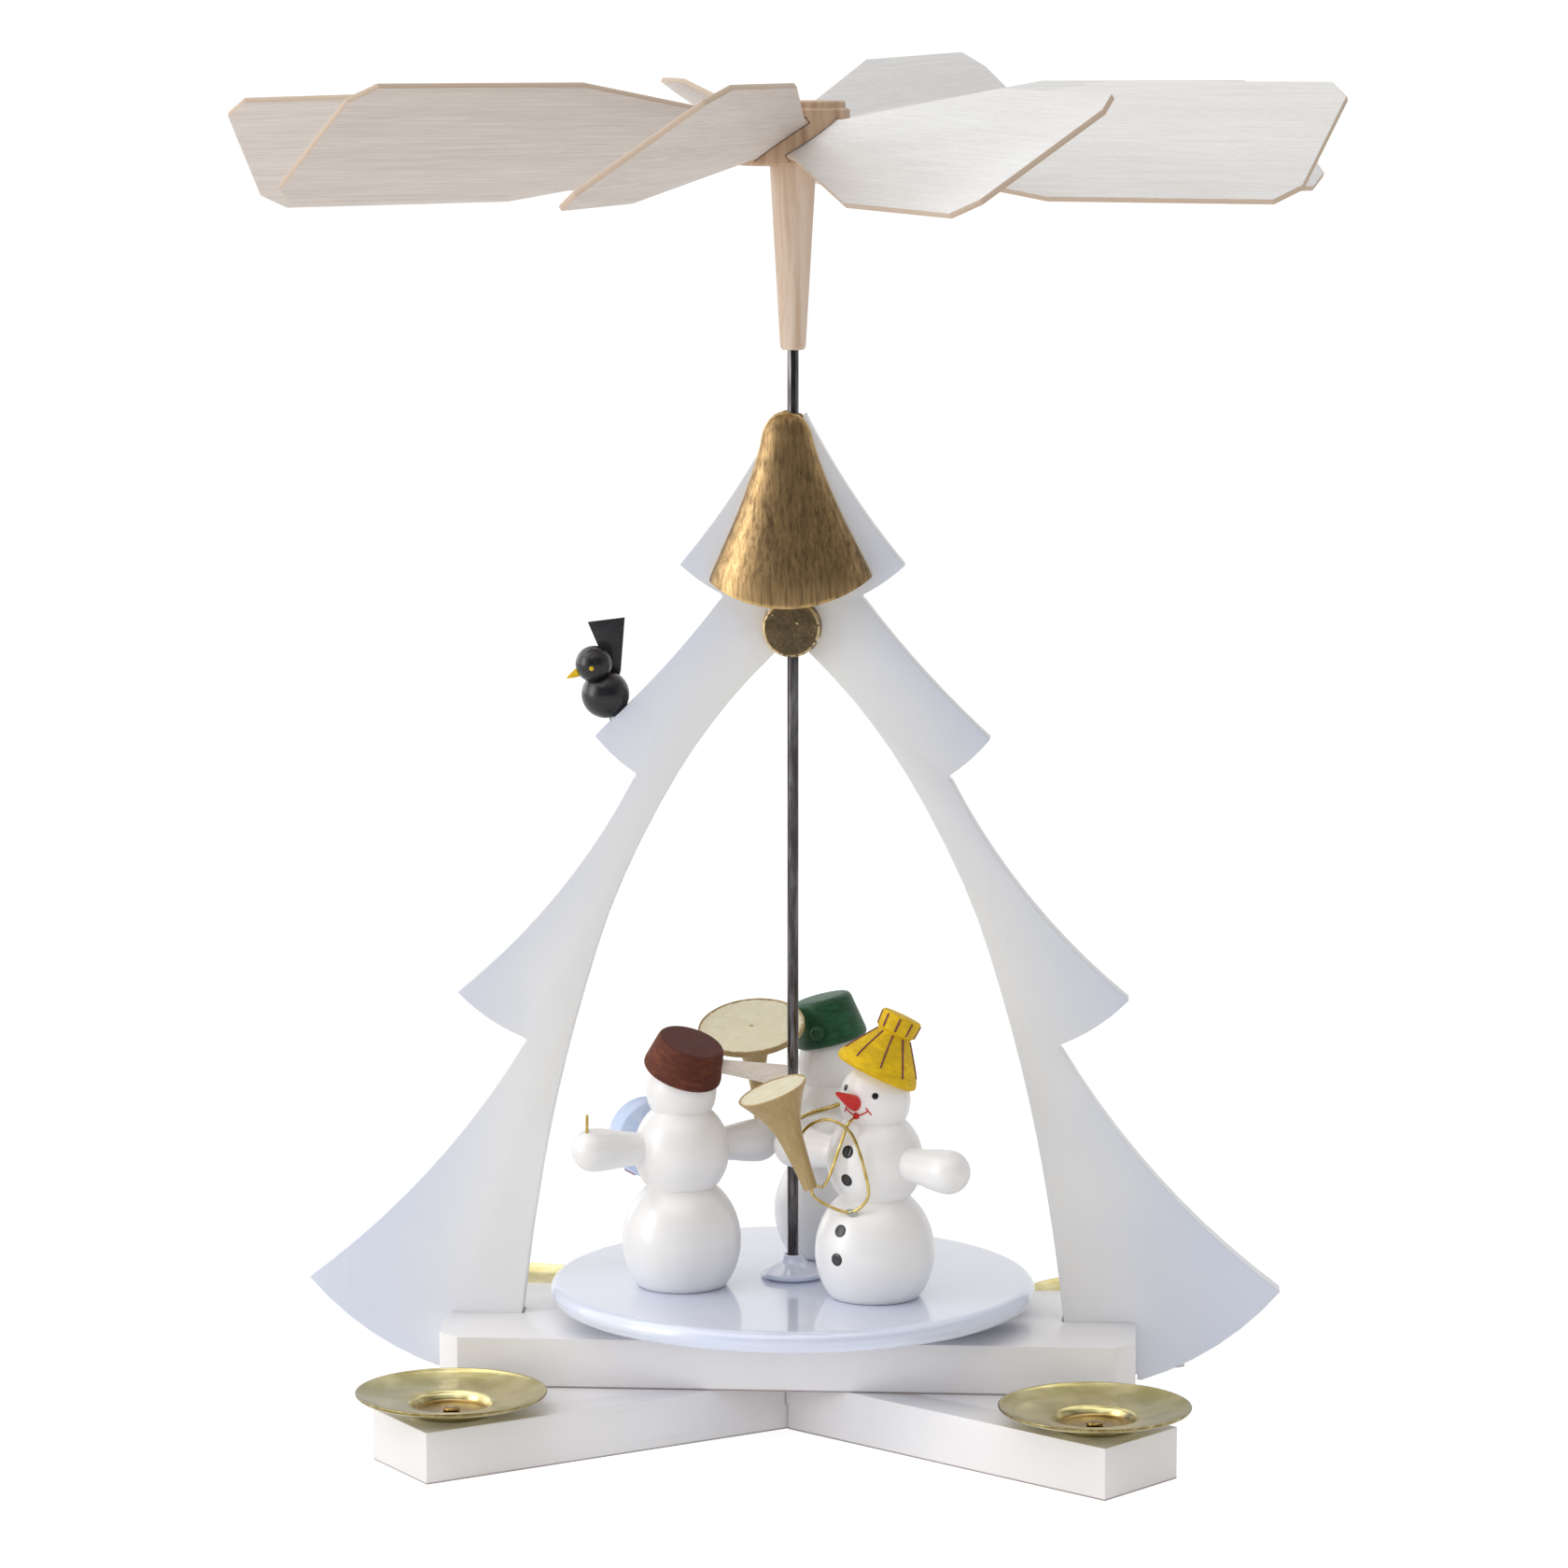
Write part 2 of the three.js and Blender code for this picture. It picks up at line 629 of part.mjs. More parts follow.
function pot() {
  const slotLength = potRadius + 2 - handleFrom + slip;
  const slot = box(handleRoot + 2 * slip, slotLength, handleThick + 2 * slip, 0, 0, 0);
  slot.translate(0, slotLength / 2 - potRadius - 2, 0);
  return cut(turned([
    [0, 0], [potRadius - 0.5, 0], [potRadius, 0.5], [potRadius, 1.2], [potRadius - 1, 6.1],
    [potRadius - 1.3, 6.6], [potRadius - 1.8, 6.9], [0, 6.9],
  ]), alongHandle(slot));
}

function potHandle() {
  const [a, b, c] = [handleRoot / 2, handleEnd / 2, handleClip];
  return alongHandle(board([
    [-a, -handleFrom], [-a, -potRadius], [-b, c - handleTo], [c - b, -handleTo],
    [b - c, -handleTo], [b, c - handleTo], [a, -potRadius], [a, -handleFrom],
  ], -handleThick / 2, handleThick));
}

function alongDrum(geometry) {
  return geometry.rotateY(Math.PI / 2).translate(drumFrom, ...drumAt);
}

const drummerLeft = { side: 87, rise: 3 };
const stickAlong = handAt + stickPast;
const handHeight = armAt + stickAlong * Math.sin(rad(drummerLeft.rise));
const stickSpot = [0, stickAlong * Math.cos(rad(drummerLeft.rise))];

function upright(radius, from, to) {
  return rodAlongZ(radius, from, to, 10).translate(...stickSpot, handHeight);
}

const stickTop = handRadius + stickProud;
const potTilt = { up: 40, back: 20.8, left: -9 };
const drummer = snowman({
  name: 'drummer',
  at: 201,
  facing: 119,
  arms: { left: drummerLeft, right: { side: -79, rise: -2 } },
  pins: { left: [upright(stickRadius + slip, stickTop - stickLength - slip, stickTop + 1)] },
  sockets: [alongDrum(rodAlongZ(drumPegRadius + slip, -drumPegLength - slip, 0))],
  hat: potTilt,
  hatShape: pot,
  hatFinish: finish.brown,
});
place(drummer, 'drummer_pot_handle', asHat(potHandle(), potTilt), finish.maple);
place(drummer, 'drummer_stick', upright(stickRadius, stickTop - stickLength, stickTop), finish.brass);
place(drummer, 'drum', alongDrum(turned([
  [0, -drumPegLength], [drumPegRadius, -drumPegLength], [drumPegRadius, 0], [drumRadius, 0],
  [drumRadius, drumDepth], [0, drumDepth],
])), finish.blue);

// Horn player: a pointed hat with a cuff, and a horn on a bent wire

function pointedHat() {
  return turned([
    [0, 0], [7.5, 0], [7.9, 0.5], [7.8, 1.3], [6.7, 3.2], [5, 5.7], [3.2, 8.3], [3.65, 8.7], [3.85, 11.6],
    [3.5, 11.9], [0, 11.9],
  ]);
}

function distance(from, to) {
  return Math.hypot(...from.map((v, i) => to[i] - v));
}

// A flared tube from its narrow end to a hollowed face, with a hole for its wire in the narrow end.
function flare(shape, from, to, wireRadius) {
  const length = distance(from, to);
  const mouth = shape[shape.length - 1][0];
  const profile = [[0, 0], ...shape.map(([r, t]) => [r, t * length]), [mouth, length], [mouth - 0.5, length],
    [mouth - 0.9, length - hollow], [0, length - hollow]];
  return towards(cut(turned(profile, 28), rodAlongZ(wireRadius + gap, -1, wireReach + gap)), from, to);
}

// The straight end of a wire: three points from outside a flared tube's narrow end to inside it.
function wireEnd(from, to) {
  const length = distance(from, to);
  return [-wireReach, 0, wireReach].map((along) => from.map((v, i) => v + (to[i] - v) * along / length));
}

const hornFrom = [11.8, -6, 21.5];
const hornTo = [17.5, -10.6, 40.3];
const hornPlayer = snowman({
  name: 'horn_player',
  at: -41.8,
  facing: -123,
  arms: { left: { side: 86, rise: -1 }, right: { side: -86 } },
  hat: { up: 41.7, back: 18.8, left: 17.5 },
  hatShape: pointedHat,
  hatFinish: finish.yellow,
});
place(hornPlayer, 'horn', flare([
  [1.3, 0], [1.6, 0.2], [1.9, 0.35], [2.25, 0.5], [2.95, 0.65], [4.75, 0.8], [6.6, 0.98],
], hornFrom, hornTo, hornWire), finish.tan);
place(hornPlayer, 'horn_wire', wire([
  [6.8, 0, 34.5], [8.8, 0.3, 33.7], [10, -0.7, 29.6], [11.3, -2.3, 23.8], [11, -3.6, 22.1],
  [9.8, -5.5, 21.5], [9.8, -7.7, 22.3], [10.9, -9.1, 26.2], [11.3, -8.8, 30.4], [11.8, -6.4, 33.1],
  [11.5, -2.2, 34.7], [10, 1.4, 32.8], [8.9, 4.2, 25.3], [8.4, 4.5, 20.5], [8.6, 1.9, 17.8], [8.9, 0, 17.3],
  [10.4, -3.2, 18.4],
  ...wireEnd(hornFrom, hornTo),
], hornWire, 72, 3), finish.brass);

// Tuba player: a bucket for a hat, and a wide tuba on a wire over its right shoulder

function bucket() {
  const knob = rodAlongZ(1.4, 6, 8.2, 10).rotateX(Math.PI / 2).rotateZ(-rad(10)).translate(0, 0, 3.1);
  return join(turned([
    [0, 0], [6.5, 0], [6.9, 0.5], [6.9, 1.2], [5.55, 8.2], [5, 8.8], [0, 8.8],
  ]), knob);
}

const tubaFrom = [-13, -4.6, 27.2];
const tubaTo = [-14, -11.6, 46.1];
const tubaPlayer = snowman({
  name: 'tuba_player',
  at: 73.5,
  facing: -4,
  arms: { left: { side: 88 }, right: { side: -88 } },
  hat: { up: 41.2, back: 14 },
  hatShape: bucket,
  hatFinish: finish.green,
});
place(tubaPlayer, 'tuba', flare([
  [1.5, 0], [1.55, 0.35], [2.2, 0.6], [3.2, 0.75], [5.5, 0.86], [10.15, 0.945],
], tubaFrom, tubaTo, tubaWire), finish.tan);
place(tubaPlayer, 'tuba_wire', wire([
  ...wireEnd(tubaFrom, tubaTo).reverse(), [-12.4, -3.9, 24.1], [-11.1, -5.2, 23.5], [-9.3, -8, 24.8],
  [-4, -10.2, 28.6], [2.4, -8.8, 30.7], [6.9, -5.9, 32.4], [8.5, -2, 33.9], [6.8, 0, 34.4],
], tubaWire, 44, 3), finish.brass);

// Wing wheel: a turned sleeve on the spindle, a hub with slanted slots, and the thin blades in them

function sleeve() {
  const tenonTop = sleeveTop + tenonLength;
  const solid = turned([
    [0, sleeveBottom], [sleeveFoot - 0.3, sleeveBottom], [sleeveFoot, sleeveBottom + 0.4],
    [sleeveHead, sleeveTop], [tenonRadius, sleeveTop], [tenonRadius, tenonTop], [0, tenonTop],
  ]);
  return cut(solid, rodAlongZ(bore, sleeveBottom - 1, rodTop + gap));
}

function bladeOutline(allowance) {
  const [w, root, inner] = [bladeHalfWidth, bladeRoot + allowance, bladeInner - allowance];
  const [along, across] = bladeClip;
  const side = [
    [inner, root], [hubRadius + 1, root], [bladeShoulder, w], [bladeReach - along, w],
    [bladeReach, w - across],
  ];
  return [...side.map(([x, y]) => [x, -y]), ...side.reverse()];
}

function blade(i, allowance = 0) {
  const thick = bladeThick + 2 * allowance;
  const [aside, twist, lift] = bladeStray[i];
  const flat = board(bladeOutline(allowance), -thick / 2, thick);
  const angle = bladeStart + i * 360 / bladeStray.length + aside;
  flat.rotateX(rad(bladePitch + twist)).rotateY(-rad(lift)).rotateZ(rad(angle));
  return flat.translate(0, 0, bladeMiddle);
}

function hub() {
  const cap = hubRadius - hubStep;
  const socket = rodAlongZ(tenonRadius + slip, -1, tenonLength + slip);
  const solid = turned([
    [0, 0], [hubRadius - 0.5, 0], [hubRadius, 0.5], [hubRadius, hubHeight - 1.6], [cap, hubHeight - 1.2],
    [cap, hubHeight - 0.3], [cap - 0.3, hubHeight], [0, hubHeight],
  ], 36);
  const slots = bladeStray.map((_, i) => blade(i, slip));
  return cut(cut(solid, socket).translate(0, 0, sleeveTop), ...slots);
}

place(rotor, 'wheel_sleeve', sleeve(), finish.maple);
place(rotor, 'wheel_hub', hub(), finish.maple);
bladeStray.forEach((_, i) => place(rotor, `blade_${i + 1}`, blade(i), finish.blade));

export default parts;
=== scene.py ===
import math
import random

import bmesh
import bpy
from mathutils import Matrix, Vector


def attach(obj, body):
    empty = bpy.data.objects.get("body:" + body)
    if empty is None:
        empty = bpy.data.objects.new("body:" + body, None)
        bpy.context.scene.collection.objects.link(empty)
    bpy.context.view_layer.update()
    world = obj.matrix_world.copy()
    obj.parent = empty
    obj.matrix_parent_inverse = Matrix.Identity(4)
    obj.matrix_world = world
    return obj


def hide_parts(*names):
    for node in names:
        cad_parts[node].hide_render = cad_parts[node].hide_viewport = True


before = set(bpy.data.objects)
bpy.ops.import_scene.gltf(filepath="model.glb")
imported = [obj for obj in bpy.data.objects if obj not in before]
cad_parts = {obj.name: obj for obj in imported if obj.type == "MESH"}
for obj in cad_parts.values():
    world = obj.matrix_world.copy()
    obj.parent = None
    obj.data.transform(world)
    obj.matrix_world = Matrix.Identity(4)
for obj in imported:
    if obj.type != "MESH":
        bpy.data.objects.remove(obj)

bl_info = {
    "name": "Christmas pyramid",
    "version": (1, 0, 0),
    "blender": (4, 5, 0),
    "location": "3D View > Sidebar > Pyramid",
    "description": "Builds the looks of a wooden Christmas pyramid with three snowman musicians",
    "category": "Object",
}

# Lengths are in millimetres until a mesh is made. X runs along the board, the front is towards -Y and the
# origin is on the floor in the middle of the cross.
MM = 0.001

BAR_TOP = 9.5
BOARD_TOP = 18.75
FACE = 2.5  # from the tree's middle plane to each face
ARCH = (51.0, 0.0207, 0.002886)  # half width of the opening at the board, and how it narrows with the height
DOWEL_HEIGHT = 149.0
DOWEL_RADIUS = 5.3
BELL_TOP = 188.75
BELL_LEAN = -1.6  # degrees
BELL_DEPTH = 0.52  # how round the half bell is, against a half circle
FOOT_MIDDLE = 178.9  # height of the middle of the arc along the bell's foot
FOOT_RADIUS = 25.7
FOOT_GUESS = 158.0  # where the search for the foot's height starts
BIRD_AT = (-34.9, 0, 136)
HEAD_OF_BIRD = 3.4
TABLE_BOTTOM = 22.0
TABLE_TOP = 26.0
TABLE_RADIUS = 45.5
ROD_FOOT = 19.3
ROD_TOP = 231.5
ROD_RADIUS = 1.05
BORE = 1.2  # radius of the holes for the rod
SLEEVE_BOTTOM = 200.0
SLEEVE_TOP = 233.7
WHEEL_MIDDLE = 238.6
DISH_AT = 72.8  # from the middle of the cross to the middle of a dish
DISH_RADIUS = 17.5
CUP_RADIUS = 7.1
BAR_ANGLE = 36.8  # between a bar and the board
CROSS_TURN = -1.2  # degrees that the cross is turned off square with the board
BAND = 21.7  # from the spindle to the middle of a snowman
BLADE_START = 259.6  # direction of the first blade in degrees
BLADE_STRAY = (
    # degrees off an even wheel, as set by hand: turned aside, twisted, and lifted at the tip
    (0, 0, 0), (-2, -1, -0.8), (-1, 0, 0), (6, -1, 0), (7, 8, 1.8), (1, 0, 0), (0, 0, -0.6), (-4, 0, -1.8),
    (1, 0, 0),
)
BLADE_PITCH = 34.2
BLADE_HALF = 0.545  # half a blade's thickness

BELLY = (8.6, 12.6, 11.1)  # middle height, half height and radius of each ball of a snowman
CHEST = (25.6, 9.7, 8.95)
HEAD = (36.9, 7.3, 6.55)
WAIST_AT = 18.9
NECK_AT = 33.2
ARM_AT = 26.0
HAND_AT = 17.5
HAND_RADIUS = 4.05
NOSE_AT = (6.3, 0, 37.2)
NOSE_DOWN = 64  # degrees from straight up
EYES = (("left", 36, 38.8), ("right", -27, 39.7))  # side, degrees to the left, height
MOUTH_SIDE = 3  # degrees to the left
MOUTH_AT = 34.9
SMILE_HALF = 22  # degrees from its middle to each end
DRUM_AT = (9.4, 1.3, 25.9)


# Settings

class LookSettings(bpy.types.PropertyGroup):
    edge: bpy.props.FloatProperty(
        name="Edge rounding", description="Rounding of sawn edges", default=0.00035, unit="LENGTH")
    blade_edge: bpy.props.FloatProperty(
        name="Blade edge", description="Rounding of the thin blades' edges", default=0.0002, unit="LENGTH")
    smooth_angle: bpy.props.FloatProperty(
        name="Smooth angle", description="Edges flatter than this are shaded smooth",
        default=math.radians(32), subtype="ANGLE")
    facets: bpy.props.IntProperty(
        name="Facets", description="Facets round a turned piece", default=96)
    wire_sides: bpy.props.IntProperty(
        name="Wire sides", description="Facets round a wire", default=14)
    seed: bpy.props.IntProperty(
        name="Seed", description="Seed for what differs from copy to copy", default=7)


def colour(name, default, description):
    return bpy.props.FloatVectorProperty(
        name=name, description=description, size=3, subtype="COLOR", min=0.0, max=1.0, default=default)


class PaintSettings(bpy.types.PropertyGroup):
    tree_white: colour("Tree white", (0.93, 0.925, 0.92), "Lacquer of the tree down at the board")
    tree_top: colour("Tree top", (0.82, 0.815, 0.81), "Lacquer of the tree higher up")
    tree_mist: colour("Tree mist", (0.69, 0.735, 0.87), "Blue that is sprayed along the tree's outer edge")
    board: colour("Board", (0.94, 0.92, 0.92), "Lacquer of the board and the bars")
    snow: colour("Snow", (0.93, 0.92, 0.915), "Lacquer of the snowmen")
    table: colour("Turntable", (0.77, 0.82, 0.97), "Lacquer of the turntable and its collar")
    gold: colour("Gold", (0.54, 0.36, 0.165), "Paint of the bells")
    dowel: colour("Dowel", (0.19, 0.135, 0.072), "Darker gold on the ends of the guide dowel")
    brass: colour("Dish brass", (0.66, 0.585, 0.31), "Metal of the candle dishes")
    wire: colour("Wire brass", (0.74, 0.58, 0.25), "Metal of the bent wires, the stick and the bearing")
    rod: colour("Rod steel", (0.19, 0.178, 0.182), "Metal of the spindle")
    screw: colour("Screw steel", (0.62, 0.62, 0.63), "Metal of the board's screws")
    sleeve: colour("Sleeve", (0.74, 0.60, 0.48), "Bare wood of the wheel's sleeve")
    # The hub's colour is darker than the sleeve's: end grain, with painted shade between the blades.
    hub: colour("Hub", (0.60, 0.42, 0.28), "Bare wood of the wheel's hub")
    # The blades' lower side is a darker copy of their colour: painted shade, as the lamps above leave the
    # undersides in shade.
    blade: colour("Blades", (0.89, 0.89, 0.885), "Upper side of the blades")
    blade_underside_shade: colour("Blades below", (0.67, 0.59, 0.53), "Lower side of the blades")
    handle: colour("Pot handle", (0.88, 0.81, 0.73), "Bare wood of the pot's handle")
    pot: colour("Pot", (0.165, 0.044, 0.020), "Brown of the drummer's pot")
    bucket: colour("Bucket", (0.017, 0.105, 0.038), "Green of the tuba player's bucket")
    hat: colour("Hat", (0.86, 0.56, 0.003), "Yellow of the pointed hat, the beak and the bird's eyes")
    stripe: colour("Hat stripes", (0.26, 0.085, 0.075), "Brown of the lines on the pointed hat")
    horn: colour("Horn", (0.50, 0.36, 0.165), "Tan of the horn and the tuba")
    horn_face: colour("Horn face", (0.93, 0.88, 0.68), "Cream in the mouths of the horn and the tuba")
    drum: colour("Drum", (0.70, 0.81, 1.0), "Blue of the drum's shell")
    skin: colour("Drum skin", (0.76, 0.83, 0.97), "Paler blue of the drum's skin")
    mark: colour("Drum mark", (0.33, 0.02, 0.10), "Magenta line on the drum's side")
    red: colour("Red", (0.74, 0.028, 0.024), "Noses, mouths and cheek marks")
    black: colour("Black", (0.014, 0.013, 0.017), "Bird, and the snowmen's eyes and buttons")
    tail: colour("Bird's tail", (0.030, 0.028, 0.032), "Duller black of the bird's tail")


class StageSettings(bpy.types.PropertyGroup):
    eye: bpy.props.FloatVectorProperty(
        name="Eye", description="Where the camera stands", size=3, subtype="XYZ", unit="LENGTH",
        default=(0.06748, -0.99370, 0.25592))
    aim: bpy.props.FloatVectorProperty(
        name="Aim", description="What the camera looks at", size=3, subtype="XYZ", unit="LENGTH",
        default=(-0.00166, 0.0, 0.11947))
    lens: bpy.props.FloatProperty(
        name="Lens", description="Focal length for a 36 mm wide picture", default=124.28)
    key: bpy.props.FloatProperty(
        name="Key light", description="Power of the large lamp above", default=31.0)
    side: bpy.props.FloatProperty(
        name="Side light", description="Power of the tall lamp on the left", default=6.5)
    sky: bpy.props.FloatProperty(name="Sky", description="Strength of the light all round", default=0.48)


# Geometry

def bez(a, b, c, t):
    """Point of a quadratic curve from a to c with its corner at b."""
    return tuple(x * (1 - t) ** 2 + 2 * y * t * (1 - t) + z * t * t for x, y, z in zip(a, b, c))


def softened(points, radius=0.3, steps=4):
    """The same outline with every corner between its ends rounded."""
    out = [tuple(points[0])]
    for before, corner, after in zip(points, points[1:], points[2:]):
        ends = []
        for other in (before, after):
            way = [o - c for o, c in zip(other, corner)]
            reach = math.hypot(*way)
            part = min(radius, reach * 0.45) / max(reach, 1e-6)
            ends.append(tuple(c + w * part for c, w in zip(corner, way)))
        out += [bez(ends[0], corner, ends[1], i / steps) for i in range(steps + 1)]
    return out + [tuple(points[-1])]


def ball_side(shape, start, stop, steps):
    """Part of a ball's outline between two heights, as (radius, height) pairs."""
    at, half, radius = shape
    low, high = (math.asin(max(-1.0, min(1.0, (z - at) / half))) for z in (start, stop))
    turns = [low + (high - low) * i / steps for i in range(steps + 1)]
    return [(radius * math.cos(t), at + half * math.sin(t)) for t in turns]


def turned(profile, facets=None):
    """A turned solid about Z from (radius, height) pairs."""
    bm = bmesh.new()
    verts = [bm.verts.new((r * MM, 0, z * MM)) for r, z in profile]
    edges = [bm.edges.new(pair) for pair in zip(verts, verts[1:])]
    steps = facets or bpy.context.scene.pyramid_look.facets
    bmesh.ops.spin(bm, geom=verts + edges, cent=(0, 0, 0), axis=(0, 0, 1), angle=2 * math.pi,
                   steps=steps, use_merge=True)
    bmesh.ops.remove_doubles(bm, verts=bm.verts[:], dist=1e-7)
    bmesh.ops.recalc_face_normals(bm, faces=bm.faces[:])
    return bm


def ball(radius, scale=(1, 1, 1)):
    bm = bmesh.new()
    bmesh.ops.create_uvsphere(bm, u_segments=48, v_segments=32, radius=radius * MM)
    bmesh.ops.scale(bm, vec=scale, verts=bm.verts[:])
    return bm


def round_edges(bm, width, segments=3, angle=30):
    """Rounds every edge that is sharper than the angle."""
    sharp = [e for e in bm.edges if len(e.link_faces) == 2 and e.calc_face_angle(0) > math.radians(angle)]
    bmesh.ops.bevel(bm, geom=sharp, offset=width, offset_type="OFFSET", segments=segments, profile=0.5,
                    affect="EDGES", clamp_overlap=True, material=-1)
    return bm


def from_node(name, width, segments=3):
    """A copy of a sawn piece with its flat faces whole and its edges rounded."""
    bm = bmesh.new()
    bm.from_mesh(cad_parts[name].data)
    bmesh.ops.remove_doubles(bm, verts=bm.verts[:], dist=1e-6)
    bmesh.ops.dissolve_limit(bm, angle_limit=math.radians(0.6), verts=bm.verts[:], edges=bm.edges[:])
    return round_edges(bm, width, segments)


def from_own(name, place, width):
    """A copy of a sawn piece, brought back to the frame that it was made in."""
    bm = from_node(name, width)
    bm.transform(place.inverted())
    return bm


def slab(outline, thick):
    """A plate from an outline in X and Z, with its middle plane at Y = 0."""
    bm = bmesh.new()
    verts = [bm.verts.new((x * MM, -thick / 2 * MM, z * MM)) for x, z in outline]
    face = bm.faces.new(verts)
    grown = bmesh.ops.extrude_face_region(bm, geom=[face])
    moved = [v for v in grown["geom"] if isinstance(v, bmesh.types.BMVert)]
    bmesh.ops.translate(bm, vec=(0, thick * MM, 0), verts=moved)
    bmesh.ops.recalc_face_normals(bm, faces=bm.faces[:])
    return bm


def between(p, q, at, start, stop):
    """The point that lies between p and q as at lies between start and stop."""
    return p * ((stop - at) / (stop - start)) + q * ((at - start) / (stop - start))


def curve_through(points, count):
    """Evenly many points of a smooth curve through the given ones."""
    pts = [Vector(p) for p in points]
    pts = [pts[0] * 2 - pts[1]] + pts + [pts[-1] * 2 - pts[-2]]
    out = []
    spans = len(pts) - 3
    per = max(2, count // spans)
    for i in range(1, spans + 1):
        p = pts[i - 1:i + 3]
        t = [0.0]
        for a, b in zip(p, p[1:]):
            t.append(t[-1] + max((b - a).length, 1e-6) ** 0.5)
        for k in range(per):
            u = t[1] + (t[2] - t[1]) * k / per
            a = [between(p[j], p[j + 1], u, t[j], t[j + 1]) for j in range(3)]
            b = [between(a[j], a[j + 1], u, t[j], t[j + 2]) for j in range(2)]
            out.append(between(b[0], b[1], u, t[1], t[2]))
    return out + [pts[-2]]


def smooth_pairs(pairs, count):
    """A smooth curve through (radius, height) pairs, as such pairs."""
    return [(p.x, p.y) for p in curve_through([(r, z, 0) for r, z in pairs], count)]


def swept(points, radius, sides=None):
    """A round wire along a list of points, cut square at its ends."""
    sides = sides or bpy.context.scene.pyramid_look.wire_sides
    bm = bmesh.new()
    path = [Vector(p) for p in points]
    ways = [(b - a).normalized() for a, b in zip(path, path[1:])]
    ways = [ways[0]] + [(a + b).normalized() for a, b in zip(ways, ways[1:])] + [ways[-1]]
    across = ways[0].orthogonal().normalized()
    rings = []
    for point, way in zip(path, ways):
        across = (across - way * across.dot(way)).normalized()
        other = way.cross(across)
        ring = []
        for k in range(sides):
            angle = 2 * math.pi * k / sides
            out = across * math.cos(angle) + other * math.sin(angle)
            ring.append(bm.verts.new((point + out * radius) * MM))
        rings.append(ring)
    for a, b in zip(rings, rings[1:]):
        for k in range(sides):
            n = (k + 1) % sides
            bm.faces.new((a[k], a[n], b[n], b[k]))
    bm.faces.new(rings[0][::-1])
    bm.faces.new(rings[-1])
    bmesh.ops.recalc_face_normals(bm, faces=bm.faces[:])
    return bm


def towards(start, stop):
    """Moves a piece made along Z so that it starts at one point and runs towards another."""
    way = Vector(stop) - Vector(start)
    return Matrix.Translation(Vector(start) * MM) @ way.to_track_quat("Z", "Y").to_matrix().to_4x4()


def turn(axis, degrees):
    return Matrix.Rotation(math.radians(degrees), 4, axis)


def move(x, y, z):
    return Matrix.Translation(Vector((x, y, z)) * MM)


def piece(name, bm, look_name, body, place=None, replaces=(), shade=0.0):
    """Makes the finished object: its own coordinates are kept in the attribute "own" before it is placed."""
    look = material_of(look_name)
    layer = bm.verts.layers.float_vector.new("own")
    mark = bm.verts.layers.float.new("shade")
    for v in bm.verts:
        v[layer] = v.co
        v[mark] = shade
    if place is not None:
        bm.transform(place)
    mesh = bpy.data.meshes.new(name)
    bm.to_mesh(mesh)
    bm.free()
    mesh.materials.append(look)
    mesh.shade_smooth()
    mesh.set_sharp_from_angle(angle=bpy.context.scene.pyramid_look.smooth_angle)
    obj = bpy.data.objects.new(name, mesh)
    bpy.context.scene.collection.objects.link(obj)
    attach(obj, body)
    if replaces:
        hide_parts(*replaces)


def solid(node, bm, look_name, body, place=None, name=None, shade=0.0):
    """Makes the finished object that takes the place of a node."""
    piece(f"{name or node}_looks", bm, look_name, body, place, [node], shade)


# Shader building

class Value:
    """A value or vector socket, with sums written as sums."""

    def __init__(self, tree, socket):
        self.tree = tree
        self.socket = socket

    def maths(self, operation, *others, swap=False, clamp=False):
        node = self.tree.nodes.new("ShaderNodeMath")
        node.operation = operation
        node.use_clamp = clamp
        terms = (self, *others)
        for slot_in, term in zip(node.inputs, terms[::-1] if swap else terms):
            connect(self.tree, slot_in, term)
        return Value(self.tree, node.outputs[0])

    def __add__(self, other):
        return self.maths("ADD", other)

    def __sub__(self, other):
        return self.maths("SUBTRACT", other)

    def __mul__(self, other):
        return self.maths("MULTIPLY", other)

    def __pow__(self, other):
        return self.maths("POWER", other)

    def __rsub__(self, other):
        return self.maths("SUBTRACT", other, swap=True)

    def __neg__(self):
        return self * -1.0

    def size(self):
        return self.maths("ABSOLUTE")

    def floor_at(self, low):
        return self.maths("MAXIMUM", low)

    def clamped(self):
        return self.maths("ADD", 0.0, clamp=True)

    def step(self, low, high, start=0.0, stop=1.0):
        """Rises smoothly from start to stop as the value goes from low to high."""
        node = self.tree.nodes.new("ShaderNodeMapRange")
        node.interpolation_type = "SMOOTHSTEP"
        for slot_in, term in zip(node.inputs[:5], (self, low, high, start, stop)):
            connect(self.tree, slot_in, term)
        return Value(self.tree, node.outputs[0])


def connect(tree, slot_in, term):
    if isinstance(term, Value):
        tree.links.new(term.socket, slot_in)
    else:
        slot_in.default_value = term


